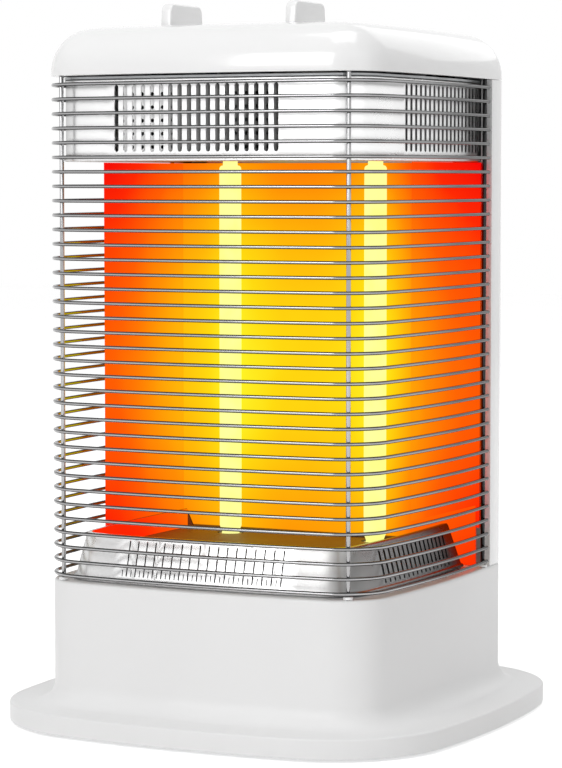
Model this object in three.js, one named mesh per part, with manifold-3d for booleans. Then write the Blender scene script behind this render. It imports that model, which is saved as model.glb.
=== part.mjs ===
import * as THREE from 'three';
import { mergeVertices } from 'three/addons/utils/BufferGeometryUtils.js';
import Module from 'manifold-3d';

// A free-standing carbon heater, built as its separate pieces.
// Lengths are in millimetres, +Z is up, the front faces -Y and the viewer's right is +X.
// The origin is on the floor under the middle of the foot.

// Clearances shared by every fit
const seatGap = 0.3;
const cutOverrun = 2;
const pitchSlack = 0.001;
const weldReach = 0.001;

// Plan outline shared by the column, wire guard, rear cover and cap
const bodyHalf = 133;
const bodyCorner = 36;
const bodyBow = 940;

// Foot plate and column
const footReach = 38;
const footCorner = 88;
const footBow = 700;
const footRimHeight = 2;
const footThickness = 14;
const footLowerRound = 1;
const footUpperRound = 1.5;
const columnHeight = 87;
const columnInset = 0.4;
const columnFillet = 14;
const columnFilletRise = 0.3;
const columnTopRound = 2.5;
const housingWall = 3;

// Bottom plate, its screws and the rubber feet
const bottomPlateThickness = 2;
const bottomPlateRise = 2;
const bottomBossRadius = 6;
const bottomScrewMargin = 16;
const bottomScrewY = 50;
const rubberFootRadius = 13;
const rubberFootMargin = 53;
const rubberFootChamfer = 1;

// Screws
const screwHeadRadius = 4;
const screwHeadHeight = 2.2;
const screwShankRadius = 2;
const screwLength = 8;

// Tip-over switch under spring load
const tipSwitchWidth = 34;
const tipSwitchDepth = 26;
const tipSwitchHeight = 24;
const tipSwitchPlaceX = 70;
const tipSwitchPlaceY = -40;
const plungerTipRadius = 3.5;
const plungerTipRound = 1;
const plungerTravel = 6;
const plungerFloorClear = 0.2;
const plungerFlangeRadius = 5;
const plungerFlangeHeight = 1.8;
const plungerBoreRadius = 5.8;
const plungerBoreTop = 4;
const springCoilRadius = 4.2;
const springWireRadius = 0.45;

// Terminal block, cord gland and internal loom
const terminalLength = 50;
const terminalDepth = 22;
const terminalHeight = 14;
const terminalWays = 4;
const terminalBoreRadius = 2;
const terminalStepX = 12;
const terminalStepY = 26;
const glandHeight = 40;
const glandFlangeRadius = 9;
const glandFlangeThickness = 2.5;
const glandBodyRadius = 6;
const glandBoreRadius = 3.8;
const glandInnerLength = 8;
const loomRadius = 4;
const loomMargin = 41;
const loomBendHeight = 30;
const loomHoleClear = 1.5;
const loomDeckClear = 3;
const loomSteepRise = 3;
const loomDeckRise = 12;

// Wire guard
const guardWireRadius = 1.25;
const uprightRadius = 1.55;
const weldDepth = 0.6;
const wirePitch = 10;
const wireMargin = 4;
const wireDrop = 1;
const guardSetback = 58.5;
const rearUprightStep = 3.5;
const frontUprightTurn = 32;
const uprightSocketDepth = 4;
const bushRadius = 3.4;
const bushHeight = 1.9;

// Open height between the column and the cap
const openHeight = 350;

// Lower tray, the slotted skirt round the lamp feet
const traySheet = 0.9;
const trayHeight = 32.2;
const trayBottomInset = 9;
const trayTopInset = 18;
const trayRimWidth = 4;
const trayFloorHeight = 19;
const trayFloorThickness = 1.4;
const trayBottomSetback = 71;
const trayTopSetback = 79;
const traySideShare = 0.94;
const traySlotWidth = 2.2;
const traySlotPitch = 7;
const traySlotFoot = 4.5;
const traySlotHead = 4.5;
const traySlotCornerMargin = 71;
const traySlotSideMargin = 63;
const traySlotRearMargin = 12;

// Upper slotted band, the screen behind it and the ceiling plate
const bandInset = 10;
const bandSheet = 1;
const bandHeight = 56.2;
const bandSetback = 47;
const bandSlotWidth = 3.4;
const bandSlotPitch = 7.3;
const bandSlotFoot = 6.5;
const bandSlotHead = 5.5;
const bandSlotCornerMargin = 68;
const bandSlotSideMargin = 73;
const bandSlotRearMargin = 10;
const ceilingRise = 2;
const ceilingClear = 0.9;
const ceilingThickness = 1.5;
const screenStep = 5;
const screenSheet = 0.8;
const screenRearStep = 3;

// Reflector
const reflectorSheet = 0.8;
const reflectorSetback = 57.5;
const reflectorStep = 0.4;
const wingFrontSetback = 91;
const wingTaper = 2.6;
const wingFootHeight = 37;
const reflectorBend = 4;

// Rear frame
const frameSheet = 1.5;
const frameMargin = 9;
const frameNeckStep = 24;
const frameFootStep = 52;
const frameFootDepth = 16;
const frameScrewX = 40;

// Rear cover
const coverWall = 2.5;
const coverLip = 6;
const coverLipThickness = 2;
const coverBossRadius = 7;
const coverBossBore = 4.6;
const coverBossFloor = 5;
const coverScrewMargin = 63;
const coverScrewEndMargin = 40;
const ventWidth = 96;
const ventHeight = 4;
const ventPitch = 9;
const ventFieldHeight = 108;

// Control deck
const deckInset = 9;
const deckSink = 1;
const deckThickness = 1.5;

// Cap
const capHeight = 35.5;
const capCrown = 2.5;
const capEdgeRound = 30;
const capWall = 3;
const capRimWidth = 6.5;
const capRimHeight = 5.5;
const capBossRadius = 5;
const capScrewMargin = 37;
const capScrewY = 24;
const capCrownShares = [0.8, 0.5, 0.15];
const capCrownRiseShares = [0.55, 0.86, 1];

// Knobs, their shafts, the rotary switch and the timer
const knobX = 48;
const knobSetback = 74.4;
const knobWellRadius = 27.5;
const knobWellSink = 10.5;
const knobDiscRadius = 26.5;
const knobDiscHeight = 4.6;
const knobFloorGap = 0.5;
const knobTop = 14.5;
const bladeLength = 49;
const bladeTopLength = 46;
const bladeThickness = 8;
const bladeRound = 6;
const shaftRadius = 2.5;
const shaftHoleRadius = 3.6;
const shaftReach = 12;
const neckRadius = 5;
const neckHeight = 5;
const switchSide = 36;
const switchHeight = 16;
const timerRadius = 25;
const timerHeight = 17;

// Lamps
const lampX = 58.4;
const lampSetback = 99;
const tubeRadius = 8;
const tubeWall = 1.2;
const ceramicRadius = 9.5;
const ceramicLength = 22;
const ceramicFloor = 8;
const leadBoreRadius = 2;
const holderFlangeRadius = 15;
const holderSheet = 1.2;
const lowerHolderHeight = 9;
const upperHolderLip = 6;
const filamentWidth = 8;
const filamentThickness = 1.2;

// Thermal cut-out
const cutoutFlangeRadius = 12;
const cutoutFlangeThickness = 1.2;
const cutoutBodyRadius = 8;
const cutoutBodyLength = 9;
const cutoutHeightShare = 0.6;

// Counts that set how finely curves are drawn
const sideSteps = 3;
const cornerSteps = 4;
const wireCornerSteps = 3;
const pathSideSteps = 2;
const roundSteps = 10;
const smallRoundSteps = 6;
const wireSides = 4;
const uprightSides = 6;
const loomSteps = 26;
const loomSides = 6;
const springTurns = 4;
const springStepsPerTurn = 8;
const springSides = 5;
const edgeSteps = 4;
const slotSteps = 2;

// Places that follow from the sizes above
const footHalf = bodyHalf + footReach;
const bottomScrewX = footHalf - bottomScrewMargin;
const rubberFootPlace = footHalf - rubberFootMargin;
const loomPlace = bodyHalf - loomMargin;
const terminalPlaceX = loomPlace - terminalStepX;
const terminalPlaceY = loomPlace - terminalStepY;
const guardRearY = bodyHalf - guardSetback;
const rearUprightY = guardRearY - rearUprightStep;
const trayBottomRearY = bodyHalf - trayBottomSetback;
const trayTopRearY = bodyHalf - trayTopSetback;
const bandRearY = bodyHalf - bandSetback;
const frameHalf = bodyHalf - frameMargin;
const reflectorRearY = bodyHalf - reflectorSetback;
const reflectorRearHalf = frameHalf - reflectorStep;
const wingFrontY = wingFrontSetback - bodyHalf;
const wingFrontHalf = reflectorRearHalf - wingTaper;
const frameY = reflectorRearY + seatGap;
const coverFrontY = frameY + frameSheet + seatGap;
const coverScrewX = bodyHalf - coverScrewMargin;
const capScrewX = bodyHalf - capScrewMargin;
const knobY = knobSetback - bodyHalf;
const lampY = bodyHalf - lampSetback;

// Heights that follow from the sizes above
const footTopZ = footRimHeight + footThickness;
const columnTopZ = footTopZ + columnHeight;
const columnDeckZ = columnTopZ - housingWall;
const capBottomZ = columnTopZ + openHeight;
const capCrestZ = capBottomZ + capHeight;
const onColumnZ = columnTopZ + seatGap;
const bottomPlateZ = footRimHeight + bottomPlateRise;
const bottomPlateTopZ = bottomPlateZ + bottomPlateThickness;
const deckTopZ = capBottomZ - deckSink;
const deckZ = deckTopZ - deckThickness;
const bandTopZ = deckZ - seatGap;
const bandZ = bandTopZ - bandHeight;
const ceilingZ = bandZ + ceilingRise;
const onCeilingZ = ceilingZ + ceilingThickness + seatGap;
const reflectorTopZ = bandZ - seatGap;

// Materials
function finish(color, roughness, metalness) {
  return new THREE.MeshStandardMaterial({ color, roughness, metalness });
}

const glossWhite = finish(0xf6f6f5, 0.18, 0);
const satinWhite = finish(0xf1f1f0, 0.42, 0);
const chrome = finish(0xc9cbcd, 0.12, 1);
const polishedSheet = finish(0xd2d3d4, 0.1, 1);
const platedSteel = finish(0x9b9ea1, 0.35, 1);
const quartz = finish(0xfff3c4, 0.08, 0);
const carbon = finish(0x1c1b1a, 0.8, 0);
const ceramic = finish(0xe9e3d6, 0.7, 0);
const blackRubber = finish(0x1d1d1e, 0.85, 0);
const darkPlastic = finish(0x2c2d2f, 0.55, 0);
const creamPlastic = finish(0xdcd8cd, 0.5, 0);
const brass = finish(0xb6924a, 0.3, 1);

// Solids: closed meshes that can be joined and cut
const wasm = await Module();
wasm.setup();

function signedVolume(position, faces) {
  const [a, b, c] = [new THREE.Vector3(), new THREE.Vector3(), new THREE.Vector3()];
  let total = 0;
  for (let i = 0; i < faces.length; i += 3) {
    a.fromBufferAttribute(position, faces[i]);
    b.fromBufferAttribute(position, faces[i + 1]);
    c.fromBufferAttribute(position, faces[i + 2]);
    total += a.dot(b.cross(c));
  }
  return total;
}

function solid(geometry) {
  const bare = geometry.clone();
  bare.deleteAttribute('normal');
  bare.deleteAttribute('uv');
  const merged = mergeVertices(bare, weldReach);
  const source = merged.index.array;
  const faces = [];
  for (let i = 0; i < source.length; i += 3) {
    const [a, b, c] = [source[i], source[i + 1], source[i + 2]];
    if (a !== b && b !== c && c !== a) faces.push(a, b, c);
  }
  if (signedVolume(merged.attributes.position, faces) < 0) faces.reverse();
  return new wasm.Manifold(new wasm.Mesh({
    numProp: 3,
    vertProperties: Float32Array.from(merged.attributes.position.array),
    triVerts: Uint32Array.from(faces),
  }));
}

function geometryOf(body) {
  const mesh = body.getMesh();
  const geometry = new THREE.BufferGeometry();
  geometry.setAttribute('position', new THREE.BufferAttribute(Float32Array.from(mesh.vertProperties), 3));
  geometry.setIndex(Array.from(mesh.triVerts));
  geometry.computeVertexNormals();
  return geometry;
}

function join(bodies) {
  return bodies.reduce((whole, next) => whole.add(next));
}

function cut(body, tools) {
  return tools.reduce((rest, tool) => rest.subtract(tool), body);
}

// Basic shapes at their places
function block(x0, x1, y0, y1, z0, z1) {
  const box = new THREE.BoxGeometry(x1 - x0, y1 - y0, z1 - z0);
  return solid(box.translate((x0 + x1) / 2, (y0 + y1) / 2, (z0 + z1) / 2));
}

function rod(x, y, radius, z0, z1, steps = roundSteps) {
  const cylinder = new THREE.CylinderGeometry(radius, radius, z1 - z0, steps);
  return solid(cylinder.rotateX(Math.PI / 2).translate(x, y, (z0 + z1) / 2));
}

function rodAlongY(x, z, radius, y0, y1, steps = roundSteps) {
  const cylinder = new THREE.CylinderGeometry(radius, radius, y1 - y0, steps);
  return solid(cylinder.translate(x, (y0 + y1) / 2, z));
}

function turned(profile, steps = roundSteps) {
  const points = profile.map(([radius, height]) => new THREE.Vector2(radius, height));
  points.push(points[0].clone());
  return new THREE.LatheGeometry(points, steps).rotateX(Math.PI / 2);
}

function prism(points, z0, z1) {
  const shape = new THREE.Shape(points);
  const raised = new THREE.ExtrudeGeometry(shape, { depth: z1 - z0, bevelEnabled: false });
  return solid(raised.translate(0, 0, z0));
}

function loft(rings) {
  const count = rings[0].points.length;
  const positions = [];
  const faces = [];
  for (const { points, z } of rings) {
    for (const point of points) positions.push(point.x, point.y, z);
  }
  for (let level = 0; level + 1 < rings.length; level += 1) {
    for (let i = 0; i < count; i += 1) {
      const low = level * count + i;
      const lowNext = level * count + ((i + 1) % count);
      faces.push(low, lowNext, lowNext + count, low, lowNext + count, low + count);
    }
  }
  const lid = (rings.length - 1) * count;
  for (const [a, b, c] of THREE.ShapeUtils.triangulateShape([...rings[0].points], [])) {
    faces.push(c, b, a);
  }
  for (const [a, b, c] of THREE.ShapeUtils.triangulateShape([...rings.at(-1).points], [])) {
    faces.push(lid + a, lid + b, lid + c);
  }
  const geometry = new THREE.BufferGeometry();
  geometry.setAttribute('position', new THREE.Float32BufferAttribute(positions, 3));
  geometry.setIndex(faces);
  return solid(geometry);
}

// Bowed-square outlines: every side is a shallow arc that runs smoothly into its corner arcs
function bowed(half, corner, bow) {
  const reach = bow - half;
  const centre = (Math.sqrt(2 * (bow - corner) ** 2 - reach ** 2) - reach) / 2;
  return { half, corner, bow, centre, turn: Math.atan2(centre, centre + reach) };
}

const bodyPlan = bowed(bodyHalf, bodyCorner, bodyBow);
const footPlan = bowed(footHalf, footCorner, footBow);

function arc(x, y, radius, from, to, steps) {
  const points = [];
  for (let i = 0; i <= steps; i += 1) {
    const angle = from + ((to - from) * i) / steps;
    points.push(new THREE.Vector2(x + radius * Math.cos(angle), y + radius * Math.sin(angle)));
  }
  return points;
}

function outline(plan, inset) {
  const points = [];
  const middle = new THREE.Vector2();
  for (let side = 0; side < 4; side += 1) {
    const quarter = (side * Math.PI) / 2;
    const flank = arc(plan.half - plan.bow, 0, plan.bow - inset, -plan.turn, plan.turn, sideSteps);
    const { centre, turn } = plan;
    const bend = arc(centre, centre, plan.corner - inset, turn, Math.PI / 2 - turn, cornerSteps);
    for (const point of [...flank.slice(0, -1), ...bend.slice(0, -1)]) {
      points.push(point.rotateAround(middle, quarter));
    }
  }
  return points;
}

// The front part of the outline, from the left side at rearY round the front to the right side at rearY
function frontPath(inset, rearY, bendSteps = cornerSteps) {
  const { half, bow, corner, centre, turn } = bodyPlan;
  const rearTurn = Math.asin(rearY / (bow - inset));
  const quarter = Math.PI / 2;
  const left = arc(bow - half, 0, bow - inset, Math.PI - rearTurn, Math.PI + turn, pathSideSteps);
  const leftBend = arc(-centre, -centre, corner - inset, Math.PI + turn, 3 * quarter - turn, bendSteps);
  const front = arc(0, bow - half, bow - inset, 3 * quarter - turn, 3 * quarter + turn, sideSteps);
  const rightBend = arc(centre, -centre, corner - inset, 3 * quarter + turn, 4 * quarter - turn, bendSteps);
  const right = arc(half - bow, 0, bow - inset, -turn, rearTurn, pathSideSteps);
  const runs = [left, leftBend, front, rightBend];
  return [...runs.flatMap((run) => run.slice(0, -1)), ...right];
}

function rearPath(inset, frontY) {
  const { half, bow, corner, centre, turn } = bodyPlan;
  const frontTurn = Math.asin(frontY / (bow - inset));
  const quarter = Math.PI / 2;
  const right = arc(half - bow, 0, bow - inset, frontTurn, turn, 1);
  const rightBend = arc(centre, centre, corner - inset, turn, quarter - turn, cornerSteps);
  const rear = arc(0, half - bow, bow - inset, quarter - turn, quarter + turn, sideSteps);
  const leftBend = arc(-centre, centre, corner - inset, quarter + turn, 2 * quarter - turn, cornerSteps);
  const left = arc(bow - half, 0, bow - inset, 2 * quarter - turn, 2 * quarter - frontTurn, 1);
  const runs = [right, rightBend, rear, leftBend];
  return [...runs.flatMap((run) => run.slice(0, -1)), ...left];
}

// A sheet that stands on edge between two paths
function standingSheet(outer, inner, z0, z1) {
  return prism([...outer, ...[...inner].reverse()], z0, z1);
}

// Where the outline's flank lies, as a half width, at a distance from the middle
function flankAt(inset, along) {
  return bodyHalf - bodyBow + Math.sqrt((bodyBow - inset) ** 2 - along ** 2);
}

// Evenly pitched places that fill a field
function places(from, to, pitch) {
  const count = Math.floor((to - from) / pitch + pitchSlack);
  const first = (from + to - (count - 1) * pitch) / 2;
  return Array.from({ length: count }, (_, i) => first + i * pitch);
}

// Places of the guard's uprights
const uprightInset = guardWireRadius + guardWireRadius + uprightRadius - weldDepth;

function uprightPlaces() {
  const turn = THREE.MathUtils.degToRad(frontUprightTurn);
  const reach = bodyCorner - uprightInset;
  const front = {
    x: bodyPlan.centre + reach * Math.sin(turn),
    y: -bodyPlan.centre - reach * Math.cos(turn),
  };
  const rear = { x: flankAt(uprightInset, rearUprightY), y: rearUprightY };
  return [front, rear].flatMap(({ x, y }) => [{ x: -x, y }, { x, y }]);
}

const uprights = uprightPlaces();
const feet = [-1, 1].flatMap((x) => [-1, 1].map((y) => ({ x, y })));
const sides = [
  { name: 'left', x: -1 },
  { name: 'right', x: 1 },
];

// The model
const heater = new THREE.Group();

function piece(name, body, material) {
  const mesh = new THREE.Mesh(body.isBufferGeometry ? body : geometryOf(body), material);
  mesh.name = name;
  heater.add(mesh);
  return mesh;
}

// A pan-head screw pointing up from its head's lower face
function screwProfile(length) {
  return [
    [0, 0],
    [screwHeadRadius, 0],
    [screwHeadRadius, screwHeadHeight],
    [screwShankRadius, screwHeadHeight],
    [screwShankRadius, screwHeadHeight + length],
    [0, screwHeadHeight + length],
  ];
}

function screw(name, x, y, z, length) {
  const geometry = geometryOf(solid(turned(screwProfile(length), smallRoundSteps)));
  piece(name, geometry, platedSteel).position.set(x, y, z);
}

// Base housing: foot plate, fillet and column in one shell, open underneath
function housingRings() {
  const footStep = footUpperRound * (1 - Math.SQRT1_2);
  const topStep = columnTopRound * (1 - Math.SQRT1_2);
  const rings = [
    { points: outline(footPlan, footLowerRound), z: footRimHeight },
    { points: outline(footPlan, 0), z: footRimHeight + footLowerRound },
    { points: outline(footPlan, 0), z: footTopZ - footUpperRound },
    { points: outline(footPlan, footStep), z: footTopZ - footStep },
    { points: outline(footPlan, footUpperRound), z: footTopZ },
  ];
  for (let i = 0; i <= edgeSteps; i += 1) {
    const angle = (i / edgeSteps) * (Math.PI / 2);
    const spread = columnFillet * (1 - Math.sin(angle));
    rings.push({
      points: outline(bodyPlan, columnInset - spread),
      z: footTopZ + columnFilletRise + columnFillet * (1 - Math.cos(angle)),
    });
  }
  rings.push({ points: outline(bodyPlan, columnInset), z: columnTopZ - columnTopRound });
  rings.push({ points: outline(bodyPlan, columnInset + topStep), z: columnTopZ - topStep });
  rings.push({ points: outline(bodyPlan, columnInset + columnTopRound), z: columnTopZ });
  return rings;
}

const footRoofZ = footTopZ - housingWall;

function baseHousing() {
  const footHollow = prism(outline(footPlan, housingWall), -cutOverrun, footRoofZ);
  const columnHollow = prism(outline(bodyPlan, columnInset + housingWall), 0, columnDeckZ);
  const shell = cut(loft(housingRings()), [footHollow, columnHollow]);
  const bosses = feet.map(({ x, y }) => rod(
    x * bottomScrewX, y * bottomScrewY, bottomBossRadius, bottomPlateTopZ + seatGap, footRoofZ + weldDepth,
  ));
  const bossHoles = feet.map(({ x, y }) => rod(
    x * bottomScrewX, y * bottomScrewY, screwShankRadius + seatGap, 0, footRoofZ, smallRoundSteps,
  ));
  const sockets = uprights.map(({ x, y }) => rod(
    x, y, uprightRadius + seatGap, columnTopZ - uprightSocketDepth, columnTopZ + cutOverrun, smallRoundSteps,
  ));
  const loomHole = rod(
    loomPlace, loomPlace, loomRadius + loomHoleClear, columnDeckZ - cutOverrun, columnTopZ + cutOverrun,
  );
  const leadHoles = sides.map((side) => rod(
    side.x * lampX, lampY, leadBoreRadius, columnDeckZ - cutOverrun, columnTopZ + cutOverrun, smallRoundSteps,
  ));
  const frameHoles = sides.map((side) => rod(
    side.x * frameScrewX, frameScrewY, screwShankRadius + seatGap,
    columnDeckZ - cutOverrun, columnTopZ + cutOverrun, smallRoundSteps,
  ));
  const glandHole = rodAlongY(0, glandHeight, glandBodyRadius + seatGap, bodyHalf / 2, bodyHalf + cutOverrun);
  return cut(join([shell, ...bosses]), [
    ...bossHoles, ...sockets, loomHole, ...leadHoles, ...frameHoles, glandHole,
  ]);
}

// Bottom plate, closing the foot from below
function bottomPlate() {
  const plate = prism(outline(footPlan, housingWall + seatGap), bottomPlateZ, bottomPlateTopZ);
  const screwHoles = feet.map(({ x, y }) => rod(
    x * bottomScrewX, y * bottomScrewY, screwShankRadius + seatGap,
    bottomPlateZ - cutOverrun, bottomPlateTopZ + cutOverrun, smallRoundSteps,
  ));
  const plungerHole = rod(
    tipSwitchPlaceX, tipSwitchPlaceY, plungerTipRadius + seatGap,
    bottomPlateZ - cutOverrun, bottomPlateTopZ + cutOverrun,
  );
  return cut(plate, [...screwHoles, plungerHole]);
}

const rubberFootProfile = [
  [0, 0],
  [rubberFootRadius - rubberFootChamfer, 0],
  [rubberFootRadius, rubberFootChamfer],
  [rubberFootRadius, bottomPlateZ - seatGap],
  [0, bottomPlateZ - seatGap],
];

// Tip-over switch: a plunger that the floor holds up against its spring
const tipSwitchZ = bottomPlateTopZ + seatGap;
const flangeZ = bottomPlateTopZ + plungerTravel + 2 * seatGap;
const flangeTopZ = flangeZ + plungerFlangeHeight;
const plungerBoreTopZ = tipSwitchZ + tipSwitchHeight - plungerBoreTop;

function tipSwitch() {
  const body = block(
    tipSwitchPlaceX - tipSwitchWidth / 2, tipSwitchPlaceX + tipSwitchWidth / 2,
    tipSwitchPlaceY - tipSwitchDepth / 2, tipSwitchPlaceY + tipSwitchDepth / 2,
    tipSwitchZ, tipSwitchZ + tipSwitchHeight,
  );
  return cut(body, [rod(
    tipSwitchPlaceX, tipSwitchPlaceY, plungerBoreRadius, tipSwitchZ - cutOverrun, plungerBoreTopZ,
  )]);
}

const plungerProfile = [
  [0, plungerFloorClear],
  [plungerTipRadius - plungerTipRound, plungerFloorClear],
  [plungerTipRadius, plungerFloorClear + plungerTipRound],
  [plungerTipRadius, flangeZ],
  [plungerFlangeRadius, flangeZ],
  [plungerFlangeRadius, flangeTopZ],
  [0, flangeTopZ],
];

class Helix extends THREE.Curve {
  constructor(radius, from, to, turns) {
    super();
    this.radius = radius;
    this.from = from;
    this.to = to;
    this.turns = turns;
  }

  getPoint(share, target = new THREE.Vector3()) {
    const angle = share * this.turns * 2 * Math.PI;
    const height = this.from + (this.to - this.from) * share;
    return target.set(this.radius * Math.cos(angle), this.radius * Math.sin(angle), height);
  }
}

function roundSection(radius, count) {
  return new THREE.Shape(arc(0, 0, radius, 0, 2 * Math.PI, count).slice(0, -1));
}

function tubeAlong(path, radius, count, steps) {
  const settings = { steps, extrudePath: path, bevelEnabled: false };
  return solid(new THREE.ExtrudeGeometry(roundSection(radius, count), settings));
}

function plungerSpring() {
  const ends = springWireRadius + seatGap;
  const helix = new Helix(springCoilRadius, flangeTopZ + ends, plungerBoreTopZ - ends, springTurns);
  return tubeAlong(helix, springWireRadius, springSides, springTurns * springStepsPerTurn);
}

// Terminal block with its wire holes, and the loom that climbs to the control deck
function terminalBlock() {
  const z0 = bottomPlateTopZ + seatGap;
  const body = block(
    terminalPlaceX - terminalLength / 2, terminalPlaceX + terminalLength / 2,
    terminalPlaceY - terminalDepth / 2, terminalPlaceY + terminalDepth / 2,
    z0, z0 + terminalHeight,
  );
  const ways = places(-terminalLength / 2, terminalLength / 2, terminalLength / terminalWays);
  const holes = ways.map((x) => rodAlongY(
    terminalPlaceX + x, z0 + terminalHeight / 2, terminalBoreRadius,
    terminalPlaceY - terminalDepth, terminalPlaceY + terminalDepth, smallRoundSteps,
  ));
  return cut(body, holes);
}

const switchZ = deckTopZ + seatGap;

function loom() {
  const start = bottomPlateTopZ + terminalHeight + 2 * seatGap;
  const top = deckTopZ + loomDeckRise;
  const timerFaceY = knobY + timerRadius;
  const route = new THREE.CatmullRomCurve3([
    new THREE.Vector3(loomPlace, terminalPlaceY, start),
    new THREE.Vector3(loomPlace, terminalPlaceY, start + loomBendHeight / 2),
    new THREE.Vector3(loomPlace, loomPlace, start + 1.5 * loomBendHeight),
    new THREE.Vector3(loomPlace, loomPlace, columnTopZ - loomBendHeight / 2),
    new THREE.Vector3(loomPlace, loomPlace, columnTopZ + loomBendHeight / 2),
    new THREE.Vector3(loomPlace, loomPlace, (start + top) / 2),
    new THREE.Vector3(loomPlace, loomPlace, deckZ - loomBendHeight / 2),
    new THREE.Vector3(loomPlace, loomPlace, deckTopZ + loomSteepRise),
    new THREE.Vector3((loomPlace + knobX) / 2, loomPlace / 2, top),
    new THREE.Vector3(knobX, timerFaceY + loomBendHeight, top),
    new THREE.Vector3(knobX, timerFaceY + 2 * seatGap, top),
  ], false, 'centripetal');
  return tubeAlong(route, loomRadius, loomSides, loomSteps);
}

// Cord gland in the rear wall; its bore stays open
function cordGland() {
  const wallY = bodyHalf - columnInset;
  const back = wallY + seatGap + glandFlangeThickness;
  const profile = [
    [glandBoreRadius, wallY - glandInnerLength],
    [glandBodyRadius, wallY - glandInnerLength],
    [glandBodyRadius, wallY + seatGap],
    [glandFlangeRadius, wallY + seatGap],
    [glandFlangeRadius, back],
    [glandBoreRadius, back],
  ];
  return geometryOf(solid(turned(profile).rotateX(-Math.PI / 2).translate(0, 0, glandHeight)));
}

// Wire guard: rounds welded outside four uprights
function guardRound(z) {
  const path = frontPath(guardWireRadius, guardRearY, wireCornerSteps);
  const rings = path.map((point, i) => {
    const before = path[Math.max(i - 1, 0)];
    const after = path[Math.min(i + 1, path.length - 1)];
    const along = after.clone().sub(before).normalize();
    return arc(0, 0, guardWireRadius, 0, 2 * Math.PI, wireSides).slice(0, -1).map(({ x, y }) => (
      [point.x - along.y * x, point.y + along.x * x, z + y]
    ));
  });
  const positions = rings.flat(2);
  const faces = [];
  for (let level = 0; level + 1 < rings.length; level += 1) {
    for (let i = 0; i < wireSides; i += 1) {
      const low = level * wireSides + i;
      const lowNext = level * wireSides + ((i + 1) % wireSides);
      faces.push(low, lowNext, lowNext + wireSides, low, lowNext + wireSides, low + wireSides);
    }
  }
  const last = (rings.length - 1) * wireSides;
  for (let i = 1; i + 1 < wireSides; i += 1) {
    faces.push(0, i + 1, i, last, last + i, last + i + 1);
  }
  const geometry = new THREE.BufferGeometry();
  geometry.setAttribute('position', new THREE.Float32BufferAttribute(positions, 3));
  geometry.setIndex(faces);
  return solid(geometry);
}

function wireGuard() {
  const rounds = Math.floor((openHeight - 2 * wireMargin) / wirePitch) + 1;
  const first = (columnTopZ + capBottomZ - (rounds - 1) * wirePitch) / 2 - wireDrop;
  const wires = Array.from({ length: rounds }, (_, i) => guardRound(first + i * wirePitch));
  const posts = uprights.map(({ x, y }) => rod(
    x, y, uprightRadius,
    columnTopZ - uprightSocketDepth + seatGap, capBottomZ + uprightSocketDepth - seatGap, uprightSides,
  ));
  return join([...posts, ...wires]);
}

const bushProfile = [
  [uprightRadius + seatGap, 0],
  [bushRadius, 0],
  [bushRadius, bushHeight],
  [uprightRadius + seatGap, bushHeight],
];

// Lower tray: a sloped slotted skirt, a rim and a sunken floor
const trayTopZ = onColumnZ + trayHeight;
const trayFloorZ = onColumnZ + trayFloorHeight;
const trayCoreInset = trayTopInset + trayRimWidth;

function trayRing(inset, rearY, z) {
  const points = frontPath(inset, rearY).map(({ x, y }) => new THREE.Vector2(x * traySideShare, y));
  return { points, z };
}

function lowerTray() {
  const floorUnderZ = trayFloorZ - trayFloorThickness;
  const outer = loft([
    trayRing(trayBottomInset, trayBottomRearY, onColumnZ),
    trayRing(trayTopInset, trayTopRearY, trayTopZ),
  ]);
  const under = loft([
    trayRing(trayBottomInset + traySheet, trayBottomRearY - traySheet, onColumnZ - cutOverrun),
    trayRing(trayBottomInset + traySheet, trayBottomRearY - traySheet, onColumnZ),
    trayRing(trayTopInset + traySheet, trayTopRearY - traySheet, trayTopZ - traySheet),
  ]);
  const coreRearY = trayTopRearY - trayRimWidth;
  const core = loft([
    trayRing(trayCoreInset - traySheet, coreRearY + traySheet, floorUnderZ),
    trayRing(trayCoreInset - traySheet, coreRearY + traySheet, trayTopZ + cutOverrun),
  ]);
  const recess = loft([
    trayRing(trayCoreInset, coreRearY, trayFloorZ),
    trayRing(trayCoreInset, coreRearY, trayTopZ + cutOverrun),
  ]);
  const lampHoles = sides.map((side) => rod(
    side.x * lampX, lampY, ceramicRadius + seatGap, floorUnderZ - cutOverrun, trayFloorZ + cutOverrun,
  ));
  const slotZ0 = onColumnZ + traySlotFoot;
  const slotZ1 = trayTopZ - traySlotHead;
  const slotReach = bodyHalf - trayCoreInset + 2 * traySheet;
  const halfSlot = traySlotWidth / 2;
  const frontHalf = bodyHalf - traySlotCornerMargin;
  const frontSlots = places(-frontHalf, frontHalf, traySlotPitch).map((x) => block(
    x - halfSlot, x + halfSlot, -bodyHalf, -slotReach, slotZ0, slotZ1,
  ));
  const sideFrontY = traySlotSideMargin - bodyHalf;
  const sideRearY = trayTopRearY - traySlotRearMargin;
  const sideSlots = places(sideFrontY, sideRearY, traySlotPitch).flatMap((y) => sides.map((side) => {
    const ends = [side.x * slotReach * traySideShare, side.x * bodyHalf].sort((a, b) => a - b);
    return block(...ends, y - halfSlot, y + halfSlot, slotZ0, slotZ1);
  }));
  return cut(outer, [under.subtract(core), recess, ...lampHoles, ...frontSlots, ...sideSlots]);
}

// Upper band with upright slots that have round ends
function slotPoints(middle, z0, z1) {
  const radius = bandSlotWidth / 2;
  return [
    ...arc(middle, z0 + radius, radius, Math.PI, 2 * Math.PI, slotSteps),
    ...arc(middle, z1 - radius, radius, 0, Math.PI, slotSteps),
  ];
}

function bandSlot(along, depthFrom, depthTo, turn) {
  const shape = new THREE.Shape(slotPoints(along, bandZ + bandSlotFoot, bandTopZ - bandSlotHead));
  const raised = new THREE.ExtrudeGeometry(shape, { depth: depthTo - depthFrom, bevelEnabled: false });
  return solid(raised.rotateX(Math.PI / 2).translate(0, -depthFrom, 0).rotateZ(turn));
}

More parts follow.
